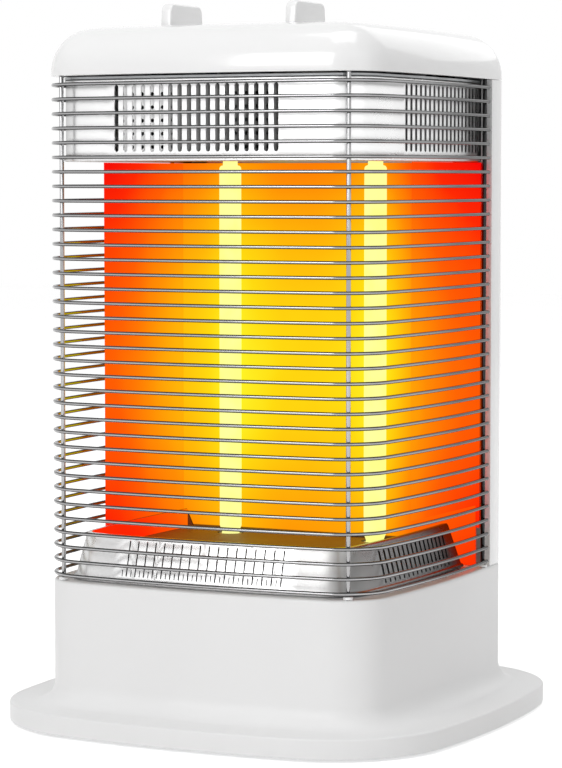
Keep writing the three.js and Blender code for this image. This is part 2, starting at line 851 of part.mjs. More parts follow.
function upperBand() {
  const sheet = standingSheet(
    frontPath(bandInset, bandRearY), frontPath(bandInset + bandSheet, bandRearY), bandZ, bandTopZ,
  );
  const from = bodyHalf - bandInset - 2 * screenStep;
  const frontHalf = bodyHalf - bandSlotCornerMargin;
  const front = places(-frontHalf, frontHalf, bandSlotPitch).map((x) => bandSlot(x, from, bodyHalf, 0));
  const side = places(bandSlotSideMargin - bodyHalf, bandRearY - bandSlotRearMargin, bandSlotPitch)
    .flatMap((y) => [bandSlot(y, from, bodyHalf, Math.PI / 2), bandSlot(-y, from, bodyHalf, -Math.PI / 2)]);
  return cut(sheet, [...front, ...side]);
}

// Ceiling plate over the lamps, and the perforated screen that stands on it
const ceilingRearY = frameY - seatGap;

function ceilingPlate() {
  const edge = frontPath(bandInset + bandSheet + ceilingClear, ceilingRearY);
  const plate = prism(edge, ceilingZ, ceilingZ + ceilingThickness);
  return cut(plate, sides.map((side) => rod(
    side.x * lampX, lampY, ceramicRadius + seatGap,
    ceilingZ - cutOverrun, ceilingZ + ceilingThickness + cutOverrun,
  )));
}

function ventScreen() {
  const inset = bandInset + bandSheet + screenStep;
  const rearY = ceilingRearY - screenRearStep;
  return standingSheet(frontPath(inset, rearY), frontPath(inset + screenSheet, rearY), onCeilingZ, bandTopZ);
}

// Reflector: a rear panel and two wings bent forward above the tray
function reflector() {
  const innerY = reflectorRearY - reflectorSheet;
  const bendX = reflectorRearHalf - reflectorBend;
  const bendY = reflectorRearY - reflectorBend;
  const right = arc(bendX, bendY, reflectorBend, 0, Math.PI / 2, edgeSteps);
  const rightInner = arc(bendX, bendY, reflectorBend - reflectorSheet, 0, Math.PI / 2, edgeSteps);
  const mirror = (points) => points.map(({ x, y }) => new THREE.Vector2(-x, y)).reverse();
  const outer = [new THREE.Vector2(wingFrontHalf, wingFrontY), ...right];
  const inner = [new THREE.Vector2(wingFrontHalf - reflectorSheet, wingFrontY), ...rightInner];
  const wings = standingSheet(
    [...outer, ...mirror(outer)], [...inner, ...mirror(inner)], columnTopZ + wingFootHeight, reflectorTopZ,
  );
  const panel = block(-bendX, bendX, innerY, reflectorRearY, onColumnZ, reflectorTopZ);
  return join([wings, panel]);
}

// Rear frame: the sheet-steel spine between the column and the control deck
const frameScrewY = frameY + frameSheet + frameFootDepth / 2;

function rearFrame() {
  const panel = block(-frameHalf, frameHalf, frameY, frameY + frameSheet, onColumnZ, reflectorTopZ);
  const neckHalf = frameHalf - frameNeckStep;
  const neck = block(-neckHalf, neckHalf, frameY, frameY + frameSheet, onColumnZ, bandTopZ);
  const reach = frameHalf - frameFootStep;
  const foot = block(
    -reach, reach, frameY, frameY + frameSheet + frameFootDepth, onColumnZ, onColumnZ + frameSheet,
  );
  const coverHoles = coverScrewPlaces.map(({ x, z }) => rodAlongY(
    x, z, screwShankRadius + seatGap, frameY - cutOverrun, frameY + frameSheet + cutOverrun, smallRoundSteps,
  ));
  const footHoles = sides.map((side) => rod(
    side.x * frameScrewX, frameScrewY, screwShankRadius + seatGap,
    onColumnZ - cutOverrun, onColumnZ + frameSheet + cutOverrun, smallRoundSteps,
  ));
  return cut(join([panel, neck, foot]), [...coverHoles, ...footHoles]);
}

// Rear cover: a C-shaped shell with front lips, screw bosses and vents
const coverZ = onColumnZ;
const coverTopZ = capBottomZ - seatGap;
const coverScrewPlaces = [coverZ + coverScrewEndMargin, coverTopZ - 2 * coverScrewEndMargin]
  .flatMap((z) => sides.map((side) => ({ x: side.x * coverScrewX, z })));

function rearCover() {
  const lipX = flankAt(coverWall, coverFrontY) - coverLip;
  const lipY = coverFrontY + coverLipThickness;
  const lipEnds = [[-lipX, coverFrontY], [-lipX, lipY]].map(([x, y]) => new THREE.Vector2(x, y));
  const farEnds = [[lipX, lipY], [lipX, coverFrontY]].map(([x, y]) => new THREE.Vector2(x, y));
  const inner = rearPath(coverWall, lipY).reverse();
  const wall = prism([...rearPath(0, coverFrontY), ...lipEnds, ...inner, ...farEnds], coverZ, coverTopZ);
  const backY = flankAt(coverWall / 2, coverScrewX);
  const bosses = coverScrewPlaces.map(({ x, z }) => rodAlongY(
    x, z, coverBossRadius, coverFrontY + seatGap, backY,
  ));
  const wells = coverScrewPlaces.map(({ x, z }) => rodAlongY(
    x, z, screwHeadRadius + seatGap, coverFrontY + coverBossFloor, bodyHalf + cutOverrun,
  ));
  const holes = coverScrewPlaces.map(({ x, z }) => rodAlongY(
    x, z, coverBossBore / 2, coverFrontY - cutOverrun, bodyHalf, smallRoundSteps,
  ));
  const middle = (coverZ + coverTopZ) / 2;
  const ventPlaces = places(middle - ventFieldHeight / 2, middle + ventFieldHeight / 2, ventPitch);
  const vents = ventPlaces.map((z) => block(
    -ventWidth / 2, ventWidth / 2,
    bodyHalf - 3 * coverWall, bodyHalf + cutOverrun,
    z - ventHeight / 2, z + ventHeight / 2,
  ));
  return cut(join([wall, ...bosses]), [...wells, ...holes, ...vents]);
}

// Control deck under the cap
function controlDeck() {
  const plate = prism(outline(bodyPlan, deckInset), deckZ, deckTopZ);
  const loomHole = rod(
    loomPlace, loomPlace, loomRadius + loomDeckClear, deckZ - cutOverrun, deckTopZ + cutOverrun,
  );
  const screwHoles = sides.map((side) => rod(
    side.x * capScrewX, capScrewY, screwShankRadius + seatGap,
    deckZ - cutOverrun, deckTopZ + cutOverrun, smallRoundSteps,
  ));
  return cut(plate, [loomHole, ...screwHoles]);
}

// Cap: a crowned shell with a large round edge, a thick rim, knob wells and screw bosses
const knobWellZ = capCrestZ - knobWellSink;
const capEdgeZ = capCrestZ - capCrown;

function capEdgeRings(inset) {
  const rings = [{ points: outline(bodyPlan, inset), z: capEdgeZ - capEdgeRound }];
  for (let i = 1; i <= edgeSteps; i += 1) {
    const angle = (i / edgeSteps) * (Math.PI / 2);
    rings.push({
      points: outline(bodyPlan, inset + (capEdgeRound - inset) * (1 - Math.cos(angle))),
      z: capEdgeZ - capEdgeRound + (capEdgeRound - inset) * Math.sin(angle),
    });
  }
  return rings;
}

function capShell(inset) {
  const rings = capEdgeRings(inset);
  const crest = outline(bodyPlan, bodyCorner - capWall);
  capCrownShares.forEach((share, i) => rings.push({
    points: crest.map((point) => point.clone().multiplyScalar(share)),
    z: capEdgeZ - inset + capCrown * capCrownRiseShares[i],
  }));
  return rings;
}

function topCap() {
  const outer = loft([{ points: outline(bodyPlan, 0), z: capBottomZ }, ...capShell(0)]);
  const inner = loft([
    { points: outline(bodyPlan, capRimWidth), z: capBottomZ - cutOverrun },
    { points: outline(bodyPlan, capRimWidth), z: capBottomZ + capRimHeight },
    ...capShell(capWall).filter(({ z }) => z > capBottomZ + capRimHeight + seatGap),
  ]);
  const wellBosses = sides.map((side) => rod(
    side.x * knobX, knobY, knobWellRadius + capWall, knobWellZ - capWall, capEdgeZ, roundSteps,
  ));
  const screwBosses = sides.map((side) => rod(
    side.x * capScrewX, capScrewY, capBossRadius, deckTopZ + seatGap, capEdgeZ - capWall / 2,
  ));
  const wells = sides.map((side) => rod(
    side.x * knobX, knobY, knobWellRadius, knobWellZ, capCrestZ + cutOverrun, 2 * roundSteps,
  ));
  const shaftHoles = sides.map((side) => rod(
    side.x * knobX, knobY, shaftHoleRadius, deckTopZ, capCrestZ, roundSteps,
  ));
  const screwHoles = sides.map((side) => rod(
    side.x * capScrewX, capScrewY, screwShankRadius + seatGap,
    deckTopZ, deckTopZ + screwLength + cutOverrun, smallRoundSteps,
  ));
  const sockets = uprights.map(({ x, y }) => rod(
    x, y, uprightRadius + seatGap, capBottomZ - cutOverrun, capBottomZ + uprightSocketDepth, smallRoundSteps,
  ));
  return cut(join([outer.subtract(inner), ...wellBosses, ...screwBosses]), [
    ...wells, ...shaftHoles, ...screwHoles, ...sockets,
  ]);
}

// Rotary switch and timer, each with a threaded neck
function rotarySwitch() {
  const half = switchSide / 2;
  const top = switchZ + switchHeight;
  const body = block(-knobX - half, -knobX + half, knobY - half, knobY + half, switchZ, top);
  return join([body, rod(-knobX, knobY, neckRadius, top - weldDepth, top + neckHeight)]);
}

function timer() {
  const top = switchZ + timerHeight;
  return join([
    rod(knobX, knobY, timerRadius, switchZ, top, 2 * roundSteps),
    rod(knobX, knobY, neckRadius, top - weldDepth, top + neckHeight),
  ]);
}

// A knob: a disc in the cap's well with an upright blade across it, bored for the shaft
const discZ = knobWellZ + knobFloorGap;

function knob(shaftTopZ) {
  const disc = rod(0, 0, knobDiscRadius, discZ, discZ + knobDiscHeight, 2 * roundSteps);
  const base = discZ + knobDiscHeight - weldDepth;
  const top = capCrestZ + knobTop;
  const lower = bladeLength / 2;
  const upper = bladeTopLength / 2;
  const side = new THREE.Shape([
    new THREE.Vector2(-lower, base),
    new THREE.Vector2(lower, base),
    ...arc(upper - bladeRound, top - bladeRound, bladeRound, 0, Math.PI / 2, edgeSteps),
    ...arc(bladeRound - upper, top - bladeRound, bladeRound, Math.PI / 2, Math.PI, edgeSteps),
  ]);
  const plate = new THREE.ExtrudeGeometry(side, { depth: bladeThickness, bevelEnabled: false });
  const blade = solid(plate.translate(0, 0, -bladeThickness / 2).rotateX(Math.PI / 2).rotateZ(Math.PI / 2));
  const bore = rod(0, 0, shaftRadius + seatGap, discZ - cutOverrun, shaftTopZ + seatGap);
  return cut(join([disc, blade]), [bore]);
}

const shaftTopZ = discZ + shaftReach;

function shaft(bodyHeight) {
  return rod(0, 0, shaftRadius, switchZ + bodyHeight + neckHeight + seatGap, shaftTopZ);
}

// Lamp parts, drawn on the lamp's own axis
const lowerCeramicZ = onColumnZ + holderSheet + seatGap;
const upperHolderHeight = ceramicLength;
const upperCeramicTopZ = onCeilingZ + upperHolderHeight - holderSheet - seatGap;

function ceramicProfile(endZ, direction) {
  const at = (depth) => endZ + direction * depth;
  return [
    [leadBoreRadius, at(0)],
    [ceramicRadius, at(0)],
    [ceramicRadius, at(ceramicLength)],
    [tubeRadius + seatGap, at(ceramicLength)],
    [tubeRadius + seatGap, at(ceramicFloor)],
    [leadBoreRadius, at(ceramicFloor)],
  ];
}

const tubeZ = lowerCeramicZ + ceramicFloor + seatGap;
const tubeTopZ = upperCeramicTopZ - ceramicFloor - seatGap;
const tubeProfile = [
  [tubeRadius - tubeWall, tubeZ],
  [tubeRadius, tubeZ],
  [tubeRadius, tubeTopZ],
  [tubeRadius - tubeWall, tubeTopZ],
];

const lowerHolderProfile = [
  [leadBoreRadius, onColumnZ],
  [holderFlangeRadius, onColumnZ],
  [holderFlangeRadius, onColumnZ + holderSheet],
  [ceramicRadius + seatGap + holderSheet, onColumnZ + holderSheet],
  [ceramicRadius + seatGap + holderSheet, onColumnZ + lowerHolderHeight],
  [ceramicRadius + seatGap, onColumnZ + lowerHolderHeight],
  [ceramicRadius + seatGap, onColumnZ + holderSheet],
  [leadBoreRadius, onColumnZ + holderSheet],
];

const upperHolderProfile = [
  [ceramicRadius + seatGap, onCeilingZ],
  [holderFlangeRadius, onCeilingZ],
  [holderFlangeRadius, onCeilingZ + holderSheet],
  [ceramicRadius + seatGap + holderSheet, onCeilingZ + holderSheet],
  [ceramicRadius + seatGap + holderSheet, onCeilingZ + upperHolderHeight],
  [upperHolderLip, onCeilingZ + upperHolderHeight],
  [upperHolderLip, onCeilingZ + upperHolderHeight - holderSheet],
  [ceramicRadius + seatGap, onCeilingZ + upperHolderHeight - holderSheet],
];

// The glowing element: a flat carbon ribbon
function filament() {
  const [w, t] = [filamentWidth / 2, filamentThickness / 2];
  return block(-w, w, -t, t, tubeZ, tubeTopZ);
}

// Thermal cut-out on the back of the rear frame
function thermalCutout() {
  const y0 = frameY + frameSheet + seatGap;
  const z = coverZ + (coverTopZ - coverZ) * cutoutHeightShare;
  return join([
    rodAlongY(0, z, cutoutFlangeRadius, y0, y0 + cutoutFlangeThickness),
    rodAlongY(0, z, cutoutBodyRadius, y0, y0 + cutoutBodyLength),
  ]);
}

// Assembly: base
piece('base_housing', baseHousing(), satinWhite);
piece('bottom_plate', bottomPlate(), platedSteel);
feet.forEach(({ x, y }, i) => {
  const foot = geometryOf(solid(turned(rubberFootProfile)));
  piece(`rubber_foot_${i + 1}`, foot, blackRubber).position.set(x * rubberFootPlace, y * rubberFootPlace, 0);
  const screwZ = bottomPlateZ - seatGap - screwHeadHeight;
  screw(`bottom_screw_${i + 1}`, x * bottomScrewX, y * bottomScrewY, screwZ, screwLength);
});
piece('tip_over_switch', tipSwitch(), darkPlastic);
const plunger = geometryOf(solid(turned(plungerProfile)));
piece('tip_over_plunger', plunger, creamPlastic).position.set(tipSwitchPlaceX, tipSwitchPlaceY, 0);
piece('plunger_spring', plungerSpring(), platedSteel).position.set(tipSwitchPlaceX, tipSwitchPlaceY, 0);
piece('terminal_block', terminalBlock(), creamPlastic);
piece('wiring_loom', loom(), darkPlastic);
piece('cord_gland', cordGland(), blackRubber);

// Assembly: guard, tray, band and plates
piece('wire_guard', wireGuard(), chrome);
uprights.forEach(({ x, y }, i) => {
  const bush = geometryOf(solid(turned(bushProfile)));
  piece(`guard_bush_${i + 1}`, bush, glossWhite).position.set(x, y, onColumnZ);
});
piece('lower_tray', lowerTray(), chrome);
piece('upper_band', upperBand(), chrome);
piece('ceiling_plate', ceilingPlate(), platedSteel);
piece('vent_screen', ventScreen(), platedSteel);
piece('reflector', reflector(), polishedSheet);

// Assembly: rear
piece('rear_frame', rearFrame(), platedSteel);
sides.forEach((side) => {
  const top = onColumnZ + frameSheet + seatGap + screwHeadHeight;
  const geometry = geometryOf(solid(turned(screwProfile(screwLength), smallRoundSteps)));
  const fastener = piece(`frame_screw_${side.name}`, geometry, platedSteel);
  fastener.position.set(side.x * frameScrewX, frameScrewY, top);
  fastener.rotation.x = Math.PI;
});
piece('rear_cover', rearCover(), glossWhite);
coverScrewPlaces.forEach(({ x, z }, i) => {
  const reach = coverBossFloor + frameSheet;
  const geometry = geometryOf(solid(turned(screwProfile(reach), smallRoundSteps)));
  const fastener = piece(`rear_cover_screw_${i + 1}`, geometry, platedSteel);
  fastener.position.set(x, coverFrontY + coverBossFloor + seatGap + screwHeadHeight, z);
  fastener.rotation.x = Math.PI / 2;
});
piece('thermal_cutout', thermalCutout(), brass);

// Assembly: cap and controls
piece('control_deck', controlDeck(), platedSteel);
piece('top_cap', topCap(), glossWhite);
sides.forEach((side) => {
  const z = deckZ - seatGap - screwHeadHeight;
  screw(`cap_screw_${side.name}`, side.x * capScrewX, capScrewY, z, screwLength);
});
piece('rotary_switch', rotarySwitch(), darkPlastic);
piece('timer', timer(), creamPlastic);
piece('power_shaft', shaft(switchHeight), brass).position.set(-knobX, knobY, 0);
piece('timer_shaft', shaft(timerHeight), brass).position.set(knobX, knobY, 0);
piece('power_knob', knob(shaftTopZ), glossWhite).position.set(-knobX, knobY, 0);
piece('timer_knob', knob(shaftTopZ), glossWhite).position.set(knobX, knobY, 0);

// Assembly: lamps
for (const side of sides) {
  const parts = [
    ['quartz_tube', solid(turned(tubeProfile)), quartz],
    ['carbon_filament', filament(), carbon],
    ['lower_ceramic', solid(turned(ceramicProfile(lowerCeramicZ, 1))), ceramic],
    ['upper_ceramic', solid(turned(ceramicProfile(upperCeramicTopZ, -1))), ceramic],
    ['lower_holder', solid(turned(lowerHolderProfile)), platedSteel],
    ['upper_holder', solid(turned(upperHolderProfile)), platedSteel],
  ];
  for (const [name, body, material] of parts) {
    piece(`${name}_${side.name}`, body, material).position.set(side.x * lampX, lampY, 0);
  }
}

export default heater;
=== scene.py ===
"""A free-standing carbon heater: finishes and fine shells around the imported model.

Lengths are in metres, +Z is up, the guarded front faces -Y and +X is the viewer's right.
"""

import logging
import math
from collections.abc import Iterable, Sequence
from dataclasses import dataclass
from enum import Enum

import bmesh
import bpy
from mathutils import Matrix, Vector


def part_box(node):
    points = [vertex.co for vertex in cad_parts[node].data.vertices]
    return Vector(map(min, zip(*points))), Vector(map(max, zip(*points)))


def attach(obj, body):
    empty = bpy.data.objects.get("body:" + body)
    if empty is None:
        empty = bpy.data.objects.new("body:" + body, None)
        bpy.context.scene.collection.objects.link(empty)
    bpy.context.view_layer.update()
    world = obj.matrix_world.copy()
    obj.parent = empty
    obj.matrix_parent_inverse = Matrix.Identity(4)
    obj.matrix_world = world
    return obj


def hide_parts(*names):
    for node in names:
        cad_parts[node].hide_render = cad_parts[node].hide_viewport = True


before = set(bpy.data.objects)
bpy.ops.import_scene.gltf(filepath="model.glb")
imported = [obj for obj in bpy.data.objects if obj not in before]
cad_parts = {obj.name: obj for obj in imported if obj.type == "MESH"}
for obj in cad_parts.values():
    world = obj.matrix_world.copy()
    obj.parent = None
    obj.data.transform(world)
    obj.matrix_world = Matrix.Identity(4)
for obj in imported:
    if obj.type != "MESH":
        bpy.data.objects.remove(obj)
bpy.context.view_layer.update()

LOG = logging.getLogger("carbon_heater")
MM = 0.001
SIDES = (-1.0, 1.0)
HOUSING = "housing"

Point = tuple[float, float]
Loop = list[tuple[float, float, float]]

LAMP_PLACE: Point = (58.4 * MM, 34 * MM)  # the right lamp
KNOB_PLACE: Point = (48 * MM, -58.6 * MM)  # the right knob
SCREW_HOLE = 2.3 * MM  # radius
POST_SOCKET = 1.85 * MM  # radius
SOCKET_LENGTH = 8 * MM
SMOOTH_ANGLE = 32.0


class Axis(Enum):
    """The direction in which a round tool points."""

    ALONG_Y = (math.pi / 2, 0.0, 0.0)
    ALONG_Z = (0.0, 0.0, 0.0)


# Plans: the bowed-square outline that the shells follow


def arc(centre: Point, radius: float, start: float, end: float, steps: int) -> list[Point]:
    """Points along an arc.

    Args:
        centre: The arc's centre.
        radius: Its radius.
        start: Its first angle, in radians.
        end: Its last angle, in radians.
        steps: The number of chords.

    Returns:
        steps + 1 points.
    """
    angles = [start + (end - start) * i / steps for i in range(steps + 1)]
    return [(centre[0] + radius * math.cos(a), centre[1] + radius * math.sin(a)) for a in angles]


@dataclass(frozen=True)
class Plan:
    """A square with round corners whose sides bow outwards.

    Attributes:
        half: Half its width at the middle of a side.
        corner: The radius of a corner.
        bow: The radius of a side.
        flank_steps: Chords along a side.
        corner_steps: Chords round a corner.
    """

    half: float
    corner: float
    bow: float
    flank_steps: int = 10
    corner_steps: int = 12

    @property
    def centre(self) -> float:
        """Where the corner arcs are centred, along X and Y."""
        reach = self.bow - self.half
        return (math.sqrt(2 * (self.bow - self.corner) ** 2 - reach**2) - reach) / 2

    @property
    def turn(self) -> float:
        """Half the angle that a side's arc takes up."""
        return math.atan2(self.centre, self.centre + self.bow - self.half)

    def outline(self, inset: float) -> list[Point]:
        """The whole outline, moved inwards.

        Args:
            inset: How far it moves.

        Returns:
            Its points, anticlockwise from above.
        """
        points: list[Point] = []
        for side in range(4):
            flank = arc((self.half - self.bow, 0.0), self.bow - inset, -self.turn, self.turn, self.flank_steps)
            bend = arc((self.centre, self.centre), self.corner - inset, self.turn, math.pi / 2 - self.turn,
                       self.corner_steps)
            cosine, sine = math.cos(side * math.pi / 2), math.sin(side * math.pi / 2)
            points += [(x * cosine - y * sine, x * sine + y * cosine) for x, y in flank[:-1] + bend[:-1]]
        return points

    def front_path(self, inset: float, rear_y: float) -> list[Point]:
        """The outline from the left side at rear_y, round the front, to the right side.

        Args:
            inset: How far it moves inwards.
            rear_y: Where both ends lie.

        Returns:
            Its points.
        """
        reach, bend, quarter = self.bow - inset, self.corner - inset, math.pi / 2
        rear = math.asin(rear_y / reach)
        shift, c, t, n = self.bow - self.half, self.centre, self.turn, self.flank_steps
        runs = (
            arc((shift, 0.0), reach, 2 * quarter - rear, 2 * quarter + t, n),
            arc((-c, -c), bend, 2 * quarter + t, 3 * quarter - t, self.corner_steps),
            arc((0.0, shift), reach, 3 * quarter - t, 3 * quarter + t, n),
            arc((c, -c), bend, 3 * quarter + t, 4 * quarter - t, self.corner_steps),
        )
        last = arc((-shift, 0.0), reach, -t, rear, n)
        return [point for run in runs for point in run[:-1]] + last

    def rear_path(self, inset: float, front_y: float) -> list[Point]:
        """The outline from the right side at front_y, round the back, to the left side.

        Args:
            inset: How far it moves inwards.
            front_y: Where both ends lie.

        Returns:
            Its points.
        """
        reach, bend, quarter = self.bow - inset, self.corner - inset, math.pi / 2
        near = math.asin(front_y / reach)
        shift, c, t = self.bow - self.half, self.centre, self.turn
        runs = (
            arc((-shift, 0.0), reach, near, t, 2),
            arc((c, c), bend, t, quarter - t, self.corner_steps),
            arc((0.0, -shift), reach, quarter - t, quarter + t, self.flank_steps),
            arc((-c, c), bend, quarter + t, 2 * quarter - t, self.corner_steps),
        )
        last = arc((shift, 0.0), reach, 2 * quarter - t, 2 * quarter - near, 2)
        return [point for run in runs for point in run[:-1]] + last

    def flank(self, inset: float, along: float) -> float:
        """The half width of the outline at a distance from its middle."""
        return self.half - self.bow + math.sqrt((self.bow - inset) ** 2 - along**2)


BODY_PLAN = Plan(half=0.133, corner=0.036, bow=0.94)
FOOT_PLAN = Plan(half=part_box("base_housing")[1].x - 0.05 * MM, corner=0.088, bow=0.7)


# Bench work: the operators that every piece shares


def deselect() -> None:
    """Leaves object mode with nothing selected."""
    if bpy.context.object and bpy.context.object.mode != "OBJECT":
        bpy.ops.object.mode_set(mode="OBJECT")
    bpy.ops.object.select_all(action="DESELECT")


def only(piece: bpy.types.Object) -> None:
    """Selects one object and makes it active.

    Args:
        piece: The object.
    """
    deselect()
    piece.select_set(True)
    bpy.context.view_layer.objects.active = piece


def settle(piece: bpy.types.Object) -> None:
    """Moves an object's place, turn and scale into its mesh."""
    only(piece)
    bpy.ops.object.transform_apply(location=True, rotation=True, scale=True)


def apply_all(piece: bpy.types.Object) -> None:
    """Applies every modifier of a piece, in order.

    Args:
        piece: The piece.
    """
    only(piece)
    for modifier in list(piece.modifiers):
        bpy.ops.object.modifier_apply(modifier=modifier.name)


def named(piece: bpy.types.Object, name: str) -> bpy.types.Object:
    """The piece, with a name on it and on its mesh."""
    piece.name = piece.data.name = name
    return piece


def face_out(piece: bpy.types.Object) -> None:
    """Merges doubles and turns all faces outwards.

    Args:
        piece: The piece.
    """
    only(piece)
    bpy.ops.object.mode_set(mode="EDIT")
    bpy.ops.mesh.select_all(action="SELECT")
    bpy.ops.mesh.remove_doubles(threshold=0.002 * MM)
    bpy.ops.mesh.normals_make_consistent(inside=False)
    bpy.ops.object.mode_set(mode="OBJECT")


def smooth(piece: bpy.types.Object, degrees: float) -> None:
    """Shades a piece smooth, apart from edges sharper than an angle."""
    only(piece)
    bpy.ops.object.shade_smooth_by_angle(angle=math.radians(degrees))


def bevel(piece: bpy.types.Object, width: float, segments: int = 3, degrees: float = 35.0) -> None:
    """Rounds a piece's sharp edges.

    Args:
        piece: The piece.
        width: How far the round reaches from the edge.
        segments: Faces across the round.
        degrees: The sharpness above which an edge is rounded.
    """
    modifier = piece.modifiers.new("edge_round", "BEVEL")
    modifier.width = width
    modifier.segments = segments
    modifier.limit_method = "ANGLE"
    modifier.angle_limit = math.radians(degrees)
    modifier.harden_normals = False
    apply_all(piece)


def start_loop(name: str, loop: Loop, filled: bool) -> bpy.types.Object:
    """Adds a circle and lays its corners on a loop.

    Args:
        name: The new piece's name.
        loop: Where the corners go, in order.
        filled: Whether one face fills it.

    Returns:
        The piece, left in edit mode with all of it selected.
    """
    deselect()
    bpy.ops.mesh.primitive_circle_add(vertices=len(loop), radius=1.0, fill_type="NGON" if filled else "NOTHING")
    piece = named(bpy.context.object, name)
    for vertex, place in zip(piece.data.vertices, loop, strict=True):
        vertex.co = place
    bpy.ops.object.mode_set(mode="EDIT")
    bpy.ops.mesh.select_all(action="SELECT")
    return piece


def lay_selected(piece: bpy.types.Object, last: Loop, following: Loop) -> None:
    """Moves the selected corners, which lie on one loop, to the next loop.

    Args:
        piece: The piece, in edit mode.
        last: The loop they lie on.
        following: The loop they go to.
    """
    mesh = bmesh.from_edit_mesh(piece.data)
    targets = {tuple(round(v, 7) for v in here): there for here, there in zip(last, following, strict=True)}
    for vertex in mesh.verts:
        if vertex.select:
            vertex.co = targets[tuple(round(v, 7) for v in single(vertex.co))]
    bmesh.update_edit_mesh(piece.data)


def single(values: Iterable[float]) -> list[float]:
    """Numbers as a mesh stores them, in single precision."""
    return list(Vector(values))


def swept(name: str, loops: Sequence[Loop], closed: bool = False) -> bpy.types.Object:
    """A shell through loops of equal length, extruded from one to the next.

    Args:
        name: The new piece's name.
        loops: The loops, in order.
        closed: Whether the last loop joins the first, instead of both being filled.

    Returns:
        The piece, in object mode, with its faces outwards.
    """
    exact = [[tuple(single(place)) for place in loop] for loop in loops]
    piece = start_loop(name, exact[0], filled=False)
    if not closed:
        bpy.ops.mesh.edge_face_add()
        only_edges(piece)
    for last, following in zip(exact, exact[1:], strict=False):
        bpy.ops.mesh.extrude_edges_move()
        lay_selected(piece, last, following)
    if closed:
        bpy.ops.mesh.extrude_edges_move()
        lay_selected(piece, exact[-1], exact[0])
    else:
        bpy.ops.mesh.edge_face_add()
    bpy.ops.object.mode_set(mode="OBJECT")
    face_out(piece)
    return piece


def only_edges(piece: bpy.types.Object) -> None:
    """Selects a filled loop's edges without its face.

    Args:
        piece: The piece, in edit mode.
    """
    bpy.ops.mesh.select_mode(type="EDGE")
    bpy.ops.mesh.select_all(action="SELECT")
    mesh = bmesh.from_edit_mesh(piece.data)
    for face in mesh.faces:
        face.select_set(False)
    for edge in mesh.edges:
        edge.select_set(True)
    bmesh.update_edit_mesh(piece.data)


def extruded(name: str, loop: Loop, way: Sequence[float]) -> bpy.types.Object:
    """A filled loop extruded one way.

    Args:
        name: The new piece's name.
        loop: Its corners, in order.
        way: How far it is extruded along X, Y and Z.

    Returns:
        The piece, in object mode, with its faces outwards.
    """
    piece = start_loop(name, loop, filled=True)
    bpy.ops.mesh.extrude_region_move(TRANSFORM_OT_translate={"value": tuple(way)})
    bpy.ops.object.mode_set(mode="OBJECT")
    face_out(piece)
    return piece


def prism(name: str, points: Sequence[Point], low: float, high: float) -> bpy.types.Object:
    """A flat outline extruded upwards, from one height to another."""
    return extruded(name, [(x, y, low) for x, y in points], (0.0, 0.0, high - low))


def repeated(piece: bpy.types.Object, count: int, step: Sequence[float]) -> bpy.types.Object:
    """A piece made a row of equal ones.

    Args:
        piece: The first of the row.
        count: How many there are.
        step: The way from one to the next.

    Returns:
        The row, as one mesh.
    """
    row = piece.modifiers.new("row", "ARRAY")
    row.count = count
    row.use_relative_offset = False
    row.use_constant_offset = True
    row.constant_offset_displace = tuple(step)
    apply_all(piece)
    return piece


def standing_sheet(name: str, outer: Sequence[Point], inner: Sequence[Point], low: float,
                   high: float) -> bpy.types.Object:
    """A sheet that stands on edge between two paths."""
    return prism(name, [*outer, *reversed(inner)], low, high)


def rod(name: str, centre: Sequence[float], radius: float, length: float, axis: Axis = Axis.ALONG_Z,
        sides: int = 48) -> bpy.types.Object:
    """A cylinder at its place.

    Args:
        name: The new piece's name.
        centre: Its middle.
        radius: Its radius.
        length: Its length.
        axis: Which way it points.
        sides: Its number of sides.

    Returns:
        The piece.
    """
    deselect()
    bpy.ops.mesh.primitive_cylinder_add(vertices=sides, radius=radius, depth=length, location=tuple(centre),
                                        rotation=axis.value)
    piece = named(bpy.context.object, name)
    settle(piece)
    return piece


def rods(name: str, spots: Sequence[Point], middle: float, radius: float, length: float,
         sides: int = 48) -> list[bpy.types.Object]:
    """Equal upright cylinders, whose middles lie at one height."""
    return [rod(name, (x, y, middle), radius, length, sides=sides) for x, y in spots]


def lathe(name: str, profile: Sequence[Point], place: Point, steps: int = 48) -> bpy.types.Object:
    """A closed profile spun about an upright axis.

    Args:
        name: The new piece's name.
        profile: Pairs of radius and height; the last joins the first.
        place: Where the axis stands.
        steps: Faces round the axis.

    Returns:
        The piece.
    """
    x, y = place
    piece = start_loop(name, [(x + r, y, z) for r, z in profile], filled=False)
    bpy.ops.mesh.spin(steps=steps, angle=2 * math.pi, center=(x, y, 0.0), axis=(0.0, 0.0, 1.0))
    bpy.ops.object.mode_set(mode="OBJECT")
    face_out(piece)
    return piece


def block(name: str, low: Sequence[float], high: Sequence[float]) -> bpy.types.Object:
    """A box.

    Args:
        name: The new piece's name.
        low: Its lowest corner.
        high: Its highest corner.

    Returns:
        The piece.
    """
    deselect()
    middle = [(a + b) / 2 for a, b in zip(low, high, strict=True)]
    bpy.ops.mesh.primitive_cube_add(size=1.0, location=middle)
    piece = named(bpy.context.object, name)
    bpy.ops.transform.resize(value=[b - a for a, b in zip(low, high, strict=True)])
    settle(piece)
    return piece


def joined(name: str, pieces: Sequence[bpy.types.Object]) -> bpy.types.Object:
    """Several objects as one.

    Args:
        name: The new piece's name.
        pieces: The objects, of which the first takes up the others.

    Returns:
        The piece.
    """
    deselect()
    for piece in pieces:
        piece.select_set(True)
    bpy.context.view_layer.objects.active = pieces[0]
    bpy.ops.object.join()
    return named(pieces[0], name)


